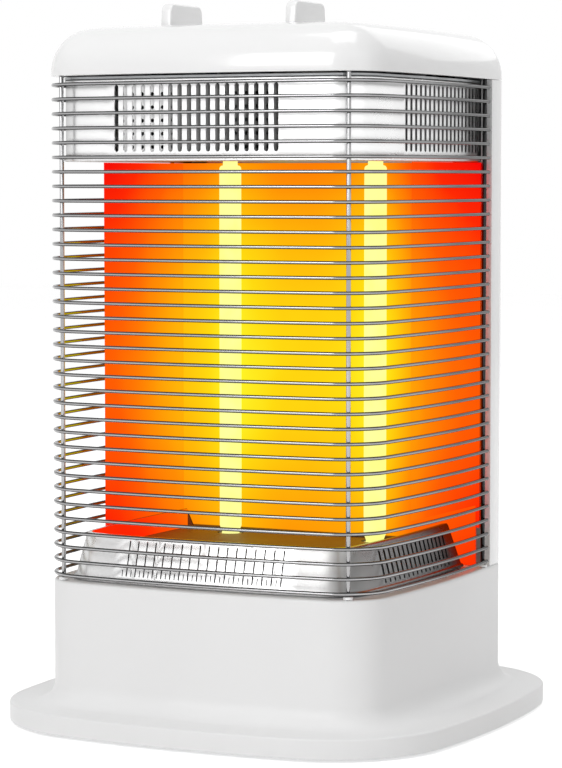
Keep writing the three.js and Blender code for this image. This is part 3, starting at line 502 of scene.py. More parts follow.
def carve(piece: bpy.types.Object, tools: Sequence[bpy.types.Object], operation: str = "DIFFERENCE") -> None:
    """Cuts a piece with tools, or joins them to it, and removes them.

    Args:
        piece: The piece to change.
        tools: The tools, which don't touch each other.
        operation: The Boolean modifier's operation.
    """
    tool = joined("tool", list(tools))
    modifier = piece.modifiers.new("carve", "BOOLEAN")
    modifier.operation = operation
    modifier.solver = "EXACT"
    modifier.object = tool
    apply_all(piece)
    bpy.data.objects.remove(tool, do_unlink=True)


def both_sides(place: Point) -> list[Point]:
    """A place on the left and on the right."""
    return [(side * place[0], place[1]) for side in SIDES]


def four_corners(place: Point) -> list[Point]:
    """A place and its mirror images across both axes."""
    return [(across * place[0], along * place[1]) for across in SIDES for along in SIDES]


# Finishes


class NodeSheet:
    """A node tree, with short ways to add and link its nodes."""

    def __init__(self, tree: bpy.types.NodeTree) -> None:
        """Takes up a tree."""
        self.tree = tree

    def add(self, kind: str, **settings: object) -> bpy.types.Node:
        """A new node.

        Args:
            kind: The node's type.
            **settings: What is set on it.

        Returns:
            The node.
        """
        node = self.tree.nodes.new(kind)
        for key, value in settings.items():
            setattr(node, key, value)
        return node

    def feed(self, value: object, target: bpy.types.NodeSocket) -> None:
        """Links a socket to an input, or sets a plain value on it.

        Args:
            value: The socket or the plain value.
            target: The input.
        """
        if isinstance(value, bpy.types.NodeSocket):
            self.tree.links.new(value, target)
        else:
            target.default_value = value

    def math(self, operation: str, first: object, second: object = 0.0, clamp: bool = False) -> bpy.types.NodeSocket:
        """A Math node.

        Args:
            operation: The node's operation.
            first: A socket or a number.
            second: A socket or a number.
            clamp: Whether the result is held between 0 and 1.

        Returns:
            Its output socket.
        """
        node = self.add("ShaderNodeMath", operation=operation, use_clamp=clamp)
        self.feed(first, node.inputs[0])
        self.feed(second, node.inputs[1])
        return node.outputs[0]

    def span(self, value: bpy.types.NodeSocket, given: Point, wanted: Point = (0.0, 1.0)) -> bpy.types.NodeSocket:
        """A Map Range node from one span to another, held at its ends.

        Args:
            value: The value.
            given: The span that it runs through.
            wanted: The span that it is mapped to.

        Returns:
            The mapped value.
        """
        node = self.add("ShaderNodeMapRange")
        self.feed(value, node.inputs["Value"])
        for key, number in zip(("From Min", "From Max", "To Min", "To Max"), (*given, *wanted), strict=True):
            node.inputs[key].default_value = number
        return node.outputs["Result"]

    def ramp(self, value: bpy.types.NodeSocket, stops: Sequence[tuple[float, Sequence[float]]],
             soft: bool = False) -> bpy.types.NodeSocket:
        """A colour that follows a value through stops.

        Args:
            value: The value, from 0 to 1.
            stops: Pairs of a value and its colour.
            soft: Whether the colour changes in a rounded curve.

        Returns:
            The colour.
        """
        node = self.add("ShaderNodeValToRGB")
        if soft:
            node.color_ramp.interpolation = "B_SPLINE"
        elements = node.color_ramp.elements
        while len(elements) < len(stops):
            elements.new(0.5)
        for element, (place, colour) in zip(elements, stops, strict=True):
            element.position = place
            element.color = (*colour, 1.0)
        self.feed(value, node.inputs["Fac"])
        return node.outputs["Color"]

    def noise(self, scale: object, place: bpy.types.NodeSocket | None = None,
              detail: float = 2.0) -> bpy.types.NodeSocket:
        """A soft random value.

        Args:
            scale: How fine it is, as a socket or a number.
            place: Its coordinates, which are the Object coordinates otherwise.
            detail: How many finer layers it has.

        Returns:
            The value.
        """
        node = self.add("ShaderNodeTexNoise")
        self.feed(self.place() if place is None else place, node.inputs["Vector"])
        self.feed(scale, node.inputs["Scale"])
        self.feed(detail, node.inputs["Detail"])
        return node.outputs["Fac"]

    def place(self) -> bpy.types.NodeSocket:
        """The Object coordinates."""
        return self.add("ShaderNodeTexCoord").outputs["Object"]

    def part(self, vector: bpy.types.NodeSocket, axis: str) -> bpy.types.NodeSocket:
        """One of a vector's numbers.

        Args:
            vector: The vector.
            axis: X, Y or Z.

        Returns:
            The number.
        """
        split = self.add("ShaderNodeSeparateXYZ")
        self.feed(vector, split.inputs["Vector"])
        return split.outputs[axis]

    def product(self, first: bpy.types.NodeSocket, second: bpy.types.NodeSocket) -> bpy.types.NodeSocket:
        """Two colours multiplied.

        Args:
            first: The one colour.
            second: The other.

        Returns:
            The product.
        """
        mix = self.add("ShaderNodeMix", data_type="RGBA", blend_type="MULTIPLY")
        for socket, value in zip((mix.inputs["Factor"], mix.inputs[6], mix.inputs[7]), (1.0, first, second),
                                 strict=True):
            self.feed(value, socket)
        return mix.outputs[2]

    def shade(self, colour: bpy.types.NodeSocket, axis: str, stops: Sequence[Point]) -> bpy.types.NodeSocket:
        """A colour multiplied by painted shade: tones that change along an axis, in place of shade and reflections.

        Args:
            colour: The colour.
            axis: X, Y or Z.
            stops: Pairs of a place in millimetres and the painted shade tone there.

        Returns:
            The product.
        """
        low, high = stops[0][0], stops[-1][0]
        share = self.span(self.part(self.place(), axis), (low * MM, high * MM))
        tones = self.ramp(share, [((at - low) / (high - low), (tone,) * 3) for at, tone in stops])
        return self.product(colour, tones)

    def painted_ledge_shade(self, colour: bpy.types.NodeSocket, left: float) -> bpy.types.NodeSocket:
        """A colour with painted shade where the surface faces up or down, standing in for a dark floor and ceiling
        reflected in it.

        Args:
            colour: The colour.
            left: How much of it is left there.

        Returns:
            The darkened colour.
        """
        lean = self.math("ABSOLUTE", self.part(self.add("ShaderNodeNewGeometry").outputs["Normal"], "Z"))
        tones = ((0.0, 1.0), (0.25, 0.85), (0.5, 3 * left), (1.0, left))
        return self.product(colour, self.ramp(lean, [(place, (tone,) * 3) for place, tone in tones]))


class GroupSheet(NodeSheet):
    """A node group in the making."""

    def __init__(self, name: str, inputs: dict[str, str], outputs: dict[str, str]) -> None:
        """Starts the group.

        Args:
            name: Its name.
            inputs: Its inputs' names and kinds, such as Float.
            outputs: Its outputs' names and kinds.
        """
        super().__init__(bpy.data.node_groups.new(name, "ShaderNodeTree"))
        for way, sockets in (("INPUT", inputs), ("OUTPUT", outputs)):
            for socket, kind in sockets.items():
                self.tree.interface.new_socket(socket, in_out=way, socket_type=f"NodeSocket{kind}")
        self.entry = self.add("NodeGroupInput")
        self.leave = self.add("NodeGroupOutput")


class MaterialSheet(NodeSheet):
    """A material in the making."""

    def __init__(self, name: str) -> None:
        """Starts the material.

        Args:
            name: Its name.
        """
        self.material = bpy.data.materials.new(name)
        self.material.use_nodes = True
        super().__init__(self.material.node_tree)
        self.shader = self.tree.nodes["Principled BSDF"]

    def finished(self, values: dict[str, object]) -> bpy.types.Material:
        """The material, once its shader has its values.

        Args:
            values: The shader's inputs and what each gets, a socket or a plain value.

        Returns:
            The material.
        """
        for socket, value in values.items():
            self.feed(value, self.shader.inputs[socket])
        return self.material


def surface_group() -> bpy.types.NodeTree:
    """The shared surface detail: fine grain and broad cloudiness, as masks.

    Returns:
        The node group, built once.
    """
    name = "surface_detail"
    if name in bpy.data.node_groups:
        return bpy.data.node_groups[name]
    inputs = {"Place": "Vector", "Grain Scale": "Float", "Cloud Scale": "Float"}
    sheet = GroupSheet(name, inputs, {"Grain": "Float", "Cloud": "Float"})
    given = sheet.entry.outputs
    for mask, detail in (("Grain", 3.0), ("Cloud", 5.0)):
        sheet.feed(sheet.noise(given[f"{mask} Scale"], given["Place"], detail), sheet.leave.inputs[mask])
    return sheet.tree


@dataclass(frozen=True)
class Finish:
    """A surface whose tone, roughness and relief vary a little, as a real one does, with painted shade and painted
    reflection laid over its tone by position and by where it faces up or down.

    Attributes:
        name: The material's name.
        colour: Its linear colour.
        roughness: Its middle roughness.
        metallic: 0 or 1.
        tone_share: How far its tone varies.
        roughness_share: How far its roughness varies.
        relief: The grain's height.
        grain_scale: How fine the grain is.
        cloud_scale: How broad the variation is.
        coat: The clear coat's weight.
        stretch: How the grain is drawn out along X, Y and Z.
        across: Pairs of a place along X, in millimetres, and a painted shade tone there.
        along: The same painted shade along Y.
        ledge_shade_left: How much of its tone is left under painted shade where it faces up or down; 1 leaves it even.
    """

    name: str
    colour: tuple[float, float, float]
    roughness: float
    metallic: float = 0.0
    tone_share: float = 0.04
    roughness_share: float = 0.25
    relief: float = 0.02 * MM
    grain_scale: float = 900.0
    cloud_scale: float = 9.0
    coat: float = 0.0
    stretch: tuple[float, float, float] = (1.0, 1.0, 1.0)
    across: tuple[Point, ...] = ()
    along: tuple[Point, ...] = ()
    ledge_shade_left: float = 1.0

    def build(self) -> bpy.types.Material:
        """The material.

        Returns:
            A new material, or the one built before.
        """
        if self.name in bpy.data.materials:
            return bpy.data.materials[self.name]
        sheet = MaterialSheet(self.name)
        mapping = sheet.add("ShaderNodeMapping")
        sheet.feed(sheet.place(), mapping.inputs["Vector"])
        sheet.feed(self.stretch, mapping.inputs["Scale"])
        detail = sheet.add("ShaderNodeGroup", node_tree=surface_group())
        sheet.feed(mapping.outputs["Vector"], detail.inputs["Place"])
        sheet.feed(self.grain_scale, detail.inputs["Grain Scale"])
        sheet.feed(self.cloud_scale, detail.inputs["Cloud Scale"])
        cloud = detail.outputs["Cloud"]
        darker = [c * (1 - self.tone_share) for c in self.colour]
        colour = sheet.ramp(cloud, ((0.35, darker), (0.65, self.colour)))
        # Painted shade and painted reflection: tones by place along X and Y, and darker where the surface faces up or
        # down.
        for axis, stops in (("X", self.across), ("Y", self.along)):
            if stops:
                colour = sheet.shade(colour, axis, stops)
        if self.ledge_shade_left < 1.0:
            colour = sheet.painted_ledge_shade(colour, self.ledge_shade_left)
        low, high = self.roughness * (1 - self.roughness_share), self.roughness * (1 + self.roughness_share)
        bump = sheet.add("ShaderNodeBump")
        sheet.feed(self.relief, bump.inputs["Distance"])
        sheet.feed(detail.outputs["Grain"], bump.inputs["Height"])
        return sheet.finished({
            "Base Color": colour, "Roughness": sheet.span(cloud, (0.3, 0.7), (low, high)),
            "Normal": bump.outputs["Normal"], "Metallic": self.metallic, "Coat Weight": self.coat,
            "Coat Roughness": 0.04})


GLOSS_WHITE = Finish("white_gloss", (0.94, 0.94, 0.94), 0.16, coat=0.5, tone_share=0.015, relief=0.004 * MM)
SATIN_WHITE = Finish("white_satin", (0.89, 0.89, 0.89), 0.42, tone_share=0.02, relief=0.012 * MM,
                     grain_scale=1400.0)
# Painted reflection and shade: the wires darken towards the rear and where they face up or down.
CHROME = Finish("chrome_wire", (0.46, 0.46, 0.465), 0.14, metallic=1.0, tone_share=0.1, relief=0.002 * MM,
                ledge_shade_left=0.06,
                along=((-133, 1.0), (-80, 0.95), (-30, 0.6), (10, 0.2), (75, 0.08)))
# Painted reflection and shade: dark at the left corner and darker towards the rear.
BAND_SHEET = Finish("band_sheet", (0.98, 0.98, 0.98), 0.3, metallic=1.0, tone_share=0.03, relief=0.002 * MM,
                    across=((-124, 0.1), (-118, 0.22), (-108, 0.7), (-98, 0.95), (-80, 1.0), (124, 1.0)),
                    along=((-125, 1.0), (-75, 1.0), (-20, 0.85), (30, 0.62), (75, 0.42)))
# Painted reflection and shade: dark at both sides and darker towards the rear.
TRAY_SHEET = Finish("tray_sheet", (0.98, 0.98, 0.98), 0.3, metallic=1.0, tone_share=0.03, relief=0.002 * MM,
                    across=((-116, 0.15), (-108, 0.3), (-98, 0.8), (-88, 1.0), (86, 1.0), (97, 0.6), (104, 0.3)),
                    along=((-122, 1.0), (-90, 1.0), (-40, 0.7), (10, 0.35), (55, 0.12)))
# Painted reflection: the floor's brown stands in for the glow reflected in its metal.
TRAY_FLOOR = Finish("tray_floor", (0.2, 0.095, 0.026), 0.5, tone_share=0.25, cloud_scale=14.0)
# Painted shade: the slits' walls are near black so that they read as shadow lines.
SLIT_SHADE = Finish("painted_slit_shade", (0.07, 0.07, 0.07), 0.5, metallic=1.0, tone_share=0.2)
# Painted shade: bright only towards the left front, grey to the right and darker towards the rear.
SCREEN = Finish("screen_sheet", (0.95, 0.95, 0.95), 0.35, metallic=1.0, tone_share=0.06,
                across=((-110, 1.0), (-30, 1.0), (-24, 0.3), (40, 0.22), (118, 0.3)),
                along=((-118, 1.0), (-80, 1.0), (0, 0.6), (70, 0.4)))
PLATED = Finish("steel_plated", (0.42, 0.43, 0.44), 0.38, metallic=1.0, tone_share=0.12, cloud_scale=60.0)
SCREW = Finish("screw_steel", (0.3, 0.3, 0.31), 0.32, metallic=1.0, tone_share=0.15, cloud_scale=120.0)
RUBBER = Finish("rubber_black", (0.018, 0.018, 0.019), 0.8, tone_share=0.3, relief=0.05 * MM)
DARK = Finish("dark_moulding", (0.03, 0.03, 0.032), 0.5, tone_share=0.25)
CREAM = Finish("cream_moulding", (0.66, 0.62, 0.54), 0.5, tone_share=0.08)
CERAMIC = Finish("lamp_ceramic", (0.74, 0.7, 0.62), 0.75, tone_share=0.12, relief=0.05 * MM)
BRASS = Finish("turned_brass", (0.55, 0.37, 0.13), 0.3, metallic=1.0, stretch=(1.0, 1.0, 12.0))
CARBON = Finish("carbon_ribbon", (0.02, 0.02, 0.02), 0.7, tone_share=0.4, stretch=(4.0, 4.0, 40.0))


def srgb(*values: float) -> tuple[float, ...]:
    """A linear colour from display values of 0 to 255."""
    shares = [value / 255 for value in values]
    return tuple(s / 12.92 if s <= 0.04045 else ((s + 0.055) / 1.055) ** 2.4 for s in shares)


# Painted glow: the reflector and the tray's side walls emit these colours in place of the lamps' light falling on
# them.
GLOW_HEIGHTS = (100 * MM, 400 * MM)
GLOW_FALLOFF = ((0.0, 0.66), (0.2, 0.87), (0.36, 0.98), (0.53, 1.0), (0.74, 0.9), (0.9, 0.73), (1.0, 0.6))
PAINTED_GLOW_COLOURS = (
    (0.0, srgb(246, 8, 6)), (0.16, srgb(255, 40, 3)), (0.37, srgb(255, 94, 3)), (0.55, srgb(255, 140, 4)),
    (0.72, srgb(255, 184, 8)), (0.86, srgb(255, 219, 16)), (1.0, srgb(255, 255, 44)))


def painted_glow_group() -> bpy.types.NodeTree:
    """The shared painted glow: a colour from a glow level that stands in for the lamps' light on the sheet, dimmer
    towards its head and foot.

    Returns:
        The node group, built once.
    """
    name = "heat_colour"
    if name in bpy.data.node_groups:
        return bpy.data.node_groups[name]
    sheet = GroupSheet(name, {"Glow Level": "Float", "Height": "Float"}, {"Colour": "Color"})
    share = sheet.span(sheet.entry.outputs["Height"], GLOW_HEIGHTS)
    glow_falloff = sheet.ramp(share, [(place, (left,) * 3) for place, left in GLOW_FALLOFF], soft=True)
    total = sheet.math("ADD", sheet.entry.outputs["Glow Level"], glow_falloff)
    colour = sheet.ramp(sheet.math("SUBTRACT", total, 1.0), PAINTED_GLOW_COLOURS)
    sheet.feed(colour, sheet.leave.inputs["Colour"])
    return sheet.tree


@dataclass(frozen=True)
class Glow:
    """The reflector's face with painted glow, an emission in place of the lamps' light on it, whose level changes
    along one axis.

    Attributes:
        name: The material's name.
        axis: The axis along which the heat changes, as a socket name.
        low: Where its first stop lies.
        high: Where its last stop lies.
        stops: Pairs of a share of the way and a painted glow level from 0 to 1.
        cloud_scale: How fine its unevenness is.
        cloud_reach: How far that lifts or lowers the painted glow.
    """

    name: str
    axis: str
    low: float
    high: float
    stops: tuple[Point, ...]
    cloud_scale: float = 25.0
    cloud_reach: float = 0.012

    def build(self) -> bpy.types.Material:
        """The material.

        Returns:
            A new material.
        """
        sheet = MaterialSheet(self.name)
        along = sheet.span(sheet.part(sheet.place(), self.axis), (self.low, self.high))
        glow_level = sheet.ramp(along, [(share, (value,) * 3) for share, value in self.stops], soft=True)
        cloud = sheet.span(sheet.noise(self.cloud_scale), (0.3, 0.7), (-self.cloud_reach, self.cloud_reach))
        glow = sheet.add("ShaderNodeGroup", node_tree=painted_glow_group())
        sheet.feed(sheet.math("ADD", glow_level, cloud), glow.inputs["Glow Level"])
        sheet.feed(sheet.part(sheet.place(), "Z"), glow.inputs["Height"])
        return sheet.finished({
            "Emission Color": glow.outputs["Colour"], "Emission Strength": 1.0,
            "Base Color": (0.004, 0.002, 0.001, 1.0), "Roughness": 0.6, "Specular IOR Level": 0.0})


# Painted glow: the reflector's back is brightest near each lamp, and the wings' faces change along Y.
GLOW_BACK = Glow("glow_back", "X", -124 * MM, 124 * MM,
                 ((0.0, 0.75), (0.1, 0.86), (0.18, 1.0), (0.25, 0.95), (0.36, 0.84), (0.55, 0.86), (0.66, 1.0),
                  (0.7, 0.93), (0.78, 0.65), (1.0, 0.43)))
GLOW_WING_INNER = Glow("glow_wing_inner", "Y", -42 * MM, 75 * MM,
                       ((0.0, 0.36), (0.27, 0.42), (0.58, 0.565), (1.0, 0.76)))
GLOW_WING_OUTER = Glow("glow_wing_outer", "Y", -42 * MM, 75 * MM,
                       ((0.0, 0.65), (0.2, 0.56), (0.46, 0.45), (0.75, 0.39), (1.0, 0.35)))


@dataclass(frozen=True)
class LampGlow:
    """The lit quartz of a lamp: nearly even light with faint cloudiness.

    Attributes:
        name: The material's name.
        colour: Its colour.
        paler: The colour of its palest parts.
        strength: How strongly it shines.
        cloud_scale: How fine its cloudiness is.
    """

    name: str
    colour: tuple[float, ...]
    paler: tuple[float, ...]
    strength: float
    cloud_scale: float = 40.0

    def build(self) -> bpy.types.Material:
        """The material.

        Returns:
            A new material.
        """
        sheet = MaterialSheet(self.name)
        tone = sheet.ramp(sheet.noise(self.cloud_scale), ((0.4, self.colour), (0.6, self.paler)))
        return sheet.finished({
            "Emission Color": tone, "Emission Strength": self.strength, "Base Color": (0.05, 0.05, 0.03, 1.0),
            "Roughness": 0.2, "Specular IOR Level": 0.1})


LAMP_LIGHT = LampGlow("lamp_light", srgb(252, 253, 140), srgb(254, 255, 156), 1.0)


def dress(piece: bpy.types.Object, finish: Finish | Glow | LampGlow, node: str,
          degrees: float = SMOOTH_ANGLE, body: str = HOUSING) -> None:
    """Finishes a new piece: its shading, material and body, and hides the node it stands for.

    Args:
        piece: The piece.
        finish: Its finish.
        node: The node it replaces.
        degrees: The sharpness above which its edges stay sharp.
        body: The body it rides on.
    """
    smooth(piece, degrees)
    piece.data.materials.clear()
    piece.data.materials.append(finish.build())
    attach(piece, body)
    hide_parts(node)
    LOG.info("%s: %d faces", piece.name, len(piece.data.polygons))


# Loops and sections


def level(plan: Plan, inset: float, height: float) -> Loop:
    """A plan's outline at a height."""
    return [(x, y, height) for x, y in plan.outline(inset)]


def turns(steps: int, end: float = math.pi / 2) -> list[float]:
    """Angles from nothing to an end angle."""
    return [end * i / steps for i in range(steps + 1)]


def along_front(profile: Sequence[Point], rear_y: float) -> list[Loop]:
    """A section carried round the front of the body.

    Args:
        profile: The section's pairs of inset and height, in order.
        rear_y: Where both ends lie.

    Returns:
        One loop for each point of the path.
    """
    paths = [BODY_PLAN.front_path(inset, rear_y) for inset, _ in profile]
    return [[(*path[i], height) for path, (_, height) in zip(paths, profile, strict=True)]
            for i in range(len(paths[0]))]


def slot_row(name: str, count: int, pitch: float, width: float, low: float, high: float, near: float,
             far: float) -> bpy.types.Object:
    """Upright round-ended cutters in a row along X, centred on X = 0.

    Args:
        name: Their name.
        count: How many there are.
        pitch: Their pitch.
        width: Their width.
        low: Where they start.
        high: Where they end.
        near: Their nearer Y.
        far: Their farther Y.

    Returns:
        All of them as one object.
    """
    r = width / 2
    points = arc((0.0, low + r), r, math.pi, 2 * math.pi, 8) + arc((0.0, high - r), r, 0.0, math.pi, 8)
    start = -(count - 1) * pitch / 2
    piece = extruded(name, [(start + x, near, z) for x, z in points], (0.0, far - near, 0.0))
    return repeated(piece, count, (pitch, 0.0, 0.0))


def turned_copy(piece: bpy.types.Object, degrees: float, shift: Sequence[float]) -> bpy.types.Object:
    """A copy of a piece, turned about the Z axis and then moved.

    Args:
        piece: The piece to copy.
        degrees: How far the copy turns.
        shift: How far it then moves.

    Returns:
        The copy, with its place in its mesh.
    """
    only(piece)
    bpy.ops.object.duplicate_move()
    twin = bpy.context.object
    twin.rotation_euler = (0.0, 0.0, math.radians(degrees))
    twin.location = tuple(shift)
    settle(twin)
    return twin


def turned_and_moved(piece: bpy.types.Object, degrees: float, shift: Sequence[float]) -> bpy.types.Object:
    """A turned and moved copy that takes its original's place.

    Args:
        piece: The original, which goes.
        degrees: How far the copy turns.
        shift: How far it then moves.

    Returns:
        The copy.
    """
    twin = turned_copy(piece, degrees, shift)
    bpy.data.objects.remove(piece, do_unlink=True)
    return twin


def wire(name: str, points: Sequence[Sequence[float]], radius: float, sides: int = 3) -> bpy.types.Object:
    """A round wire along points, with closed ends.

    Args:
        name: The new piece's name.
        points: Where it runs.
        radius: Its radius.
        sides: How finely its section is drawn.

    Returns:
        The piece, as a mesh.
    """
    curve = bpy.data.curves.new(name, "CURVE")
    curve.dimensions = "3D"
    curve.bevel_depth = radius
    curve.bevel_resolution = sides
    curve.use_fill_caps = True
    spline = curve.splines.new("POLY")
    spline.points.add(len(points) - 1)
    for target, place in zip(spline.points, points, strict=True):
        target.co = (*place, 1.0)
    piece = bpy.data.objects.new(name, curve)
    bpy.context.scene.collection.objects.link(piece)
    only(piece)
    bpy.ops.object.convert(target="MESH")
    piece = bpy.context.object
    face_out(piece)
    return piece


# Sub-assemblies


@dataclass
class Base:
    """The column with its foot, hollow and open underneath, and what is set into it."""

    rim: float = 2 * MM
    foot_top: float = 16 * MM
    lower_round: float = 1 * MM
    upper_round: float = 1.5 * MM
    top: float = 103 * MM
    inset: float = 0.4 * MM
    fillet: float = 14 * MM
    fillet_rise: float = 0.3 * MM
    top_round: float = 2.5 * MM
    wall: float = 3 * MM
    boss_place: Point = (155 * MM, 50 * MM)
    boss_radius: float = 6 * MM
    boss_length: float = 7.3 * MM
    boss_drop: float = 3.05 * MM
    boss_hole_length: float = 7 * MM
    deck_hole_length: float = 10 * MM
    deck_holes: tuple[tuple[float, float, float], ...] = (
        (92 * MM, 92 * MM, 5.5 * MM), (LAMP_PLACE[0], LAMP_PLACE[1], 2 * MM), (-LAMP_PLACE[0], LAMP_PLACE[1], 2 * MM),
        (40 * MM, 85.3 * MM, 2.3 * MM), (-40 * MM, 85.3 * MM, 2.3 * MM))
    gland_height: float = 40 * MM
    gland_radius: float = 6.3 * MM
    gland_hole_length: float = 20 * MM
    gland_flange: float = 2.6 * MM
    rubber_place: float = 118 * MM
    rubber_radius: float = 13 * MM
    rubber_height: float = 3.7 * MM

    def rings(self) -> list[Loop]:
        """The shell's loops.

        Returns:
            The loops, from the hollow's roof, under the rim and up to the top.
        """
        loops = [level(BODY_PLAN, self.inset + self.wall, self.top - self.wall),
                 level(BODY_PLAN, self.inset + self.wall, self.foot_top - self.wall),
                 level(FOOT_PLAN, self.wall, self.foot_top - self.wall),
                 level(FOOT_PLAN, self.wall, self.rim)]
        for a in turns(5):
            loops.append(level(FOOT_PLAN, self.lower_round * (1 - math.sin(a)),
                               self.rim + self.lower_round * (1 - math.cos(a))))
        for a in turns(7):
            loops.append(level(FOOT_PLAN, self.upper_round * (1 - math.cos(a)),
                               self.foot_top - self.upper_round * (1 - math.sin(a))))
        for a in turns(12):
            loops.append(level(BODY_PLAN, self.inset - self.fillet * (1 - math.sin(a)),
                               self.foot_top + self.fillet_rise + self.fillet * (1 - math.cos(a))))
        for a in turns(6):
            loops.append(level(BODY_PLAN, self.inset + self.top_round * (1 - math.cos(a)),
                               self.top - self.top_round * (1 - math.sin(a))))
        return loops

    def shell(self) -> bpy.types.Object:
        """The moulded shell with its bosses and holes.

        Returns:
            The shell.
        """
        shell = swept("base_shell", self.rings())
        roof, corners = self.foot_top - self.wall, four_corners(self.boss_place)
        carve(shell, rods("boss", corners, roof - self.boss_drop, self.boss_radius, self.boss_length), "UNION")
        holes = rods("hole", corners, roof - self.boss_hole_length / 2, SCREW_HOLE, self.boss_hole_length)
        holes += [rod("hole", (x, y, self.top), radius, self.deck_hole_length) for x, y, radius in self.deck_holes]
        holes += rods("socket", upright_places(), self.top, POST_SOCKET, SOCKET_LENGTH)
        holes.append(rod("hole", (0.0, BODY_PLAN.half, self.gland_height), self.gland_radius,
                         self.gland_hole_length, Axis.ALONG_Y))
        carve(shell, holes)
        return shell

    def gland(self) -> bpy.types.Object:
        """The ribbed gland through the rear wall.

        Returns:
            The gland.
        """
        profile = [(3.8, -8.0), (5.6, -8.0), (6.0, -7.6), (6.0, 0.4), (8.6, 0.4), (9.0, 0.8), (9.0, 2.0),
                   (8.4, 2.6), (5.2, 2.6), (4.6, 2.2), (3.8, 2.6)]
        piece = lathe("cord_gland_detail", [(r * MM, z * MM) for r, z in profile], (0.0, 0.0))
        rear = min(BODY_PLAN.half - self.inset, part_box("cord_gland")[1].y - self.gland_flange)
        piece.rotation_euler = (-math.pi / 2, 0.0, 0.0)
        piece.location = (0.0, rear, self.gland_height)
        settle(piece)
        return piece

    def rubber(self) -> list[bpy.types.Object]:
        """The four feet, each with grooves in its sole.

        Returns:
            The feet.
        """
        r, h = self.rubber_radius, self.rubber_height
        profile = [(0.0, 0.6 * MM), (4 * MM, 0.6 * MM), (4.4 * MM, 0.0), (7 * MM, 0.0), (7.4 * MM, 0.6 * MM),
                   (8.6 * MM, 0.6 * MM), (9 * MM, 0.0), (r - 1 * MM, 0.0), (r - 0.3 * MM, 0.3 * MM), (r, 1 * MM),
                   (r - 0.4 * MM, h), (0.0, h)]
        first = lathe("rubber_foot_detail_1", profile, (0.0, 0.0))
        corner, *others = four_corners((self.rubber_place, self.rubber_place))
        feet = [first]
        for i, place in enumerate(others, start=2):
            feet.append(turned_copy(first, 0.0, (*place, 0.0)))
            feet[-1].name = f"rubber_foot_detail_{i}"
        first.location = (*corner, 0.0)
        settle(first)
        return feet

    def build(self) -> None:
        """Builds and finishes the base."""
        dress(self.shell(), SATIN_WHITE, "base_housing")
        dress(self.gland(), RUBBER, "cord_gland")
        for i, foot in enumerate(self.rubber(), start=1):
            dress(foot, RUBBER, f"rubber_foot_{i}")


def upright_places() -> list[Point]:
    """Where the guard's four uprights stand.

    Returns:
        The two in front, then the two at the rear.
    """
    inset, turn, rear_y = 3.45 * MM, math.radians(32.0), 71 * MM
    reach = BODY_PLAN.corner - inset
    front = (BODY_PLAN.centre + reach * math.sin(turn), -BODY_PLAN.centre - reach * math.cos(turn))
    return both_sides(front) + both_sides((BODY_PLAN.flank(inset, rear_y), rear_y))


@dataclass
class Guard:
    """The bright wire guard round the front and both sides."""

    wire_radius: float = 1.25 * MM
    pitch: float = 10 * MM
    count: int = 35
    first: float = 107 * MM
    rear: float = 74.5 * MM
    post_radius: float = 1.55 * MM
    post_low: float = 99.3 * MM
    post_high: float = 456.7 * MM

    def rounds(self) -> bpy.types.Object:
        """The bent wires, one above the other.

        Returns:
            All of them, as one mesh.
        """
        path = BODY_PLAN.front_path(self.wire_radius, self.rear)
        return repeated(wire("guard_rounds", [(*place, self.first) for place in path], self.wire_radius),
                        self.count, (0.0, 0.0, self.pitch))

    def posts(self) -> list[bpy.types.Object]:
        """The uprights inside them.

        Returns:
            The four uprights, with rounded ends.
        """
        middle, length = (self.post_low + self.post_high) / 2, self.post_high - self.post_low
        posts = rods("post", upright_places(), middle, self.post_radius, length, sides=20)
        for post in posts:
            bevel(post, 0.4 * MM, 2)
        return posts

    def bushes(self) -> list[bpy.types.Object]:
        """The small white bosses at the uprights' feet.

        Returns:
            The four bosses.
        """
        profile = [(1.85, 103.3), (3.4, 103.3), (3.4, 104.5), (3.1, 105.0), (2.6, 105.2), (1.85, 105.2)]
        return [lathe(f"guard_boss_{i}", [(r * MM, z * MM) for r, z in profile], place, 32)
                for i, place in enumerate(upright_places(), start=1)]

    def build(self) -> None:
        """Builds and finishes the guard."""
        wires = joined("guard_wires", [self.rounds(), *self.posts()])
        dress(wires, CHROME, "wire_guard", 50.0)
        for i, boss in enumerate(self.bushes(), start=1):
            dress(boss, GLOSS_WHITE, f"guard_bush_{i}", 50.0)


class TrayFace(Enum):
    """Which of the tray's materials a face has."""

    SHEET = 0
    FLOOR = 1
    SLIT_SHADE = 2
    LIT_WALL = 3


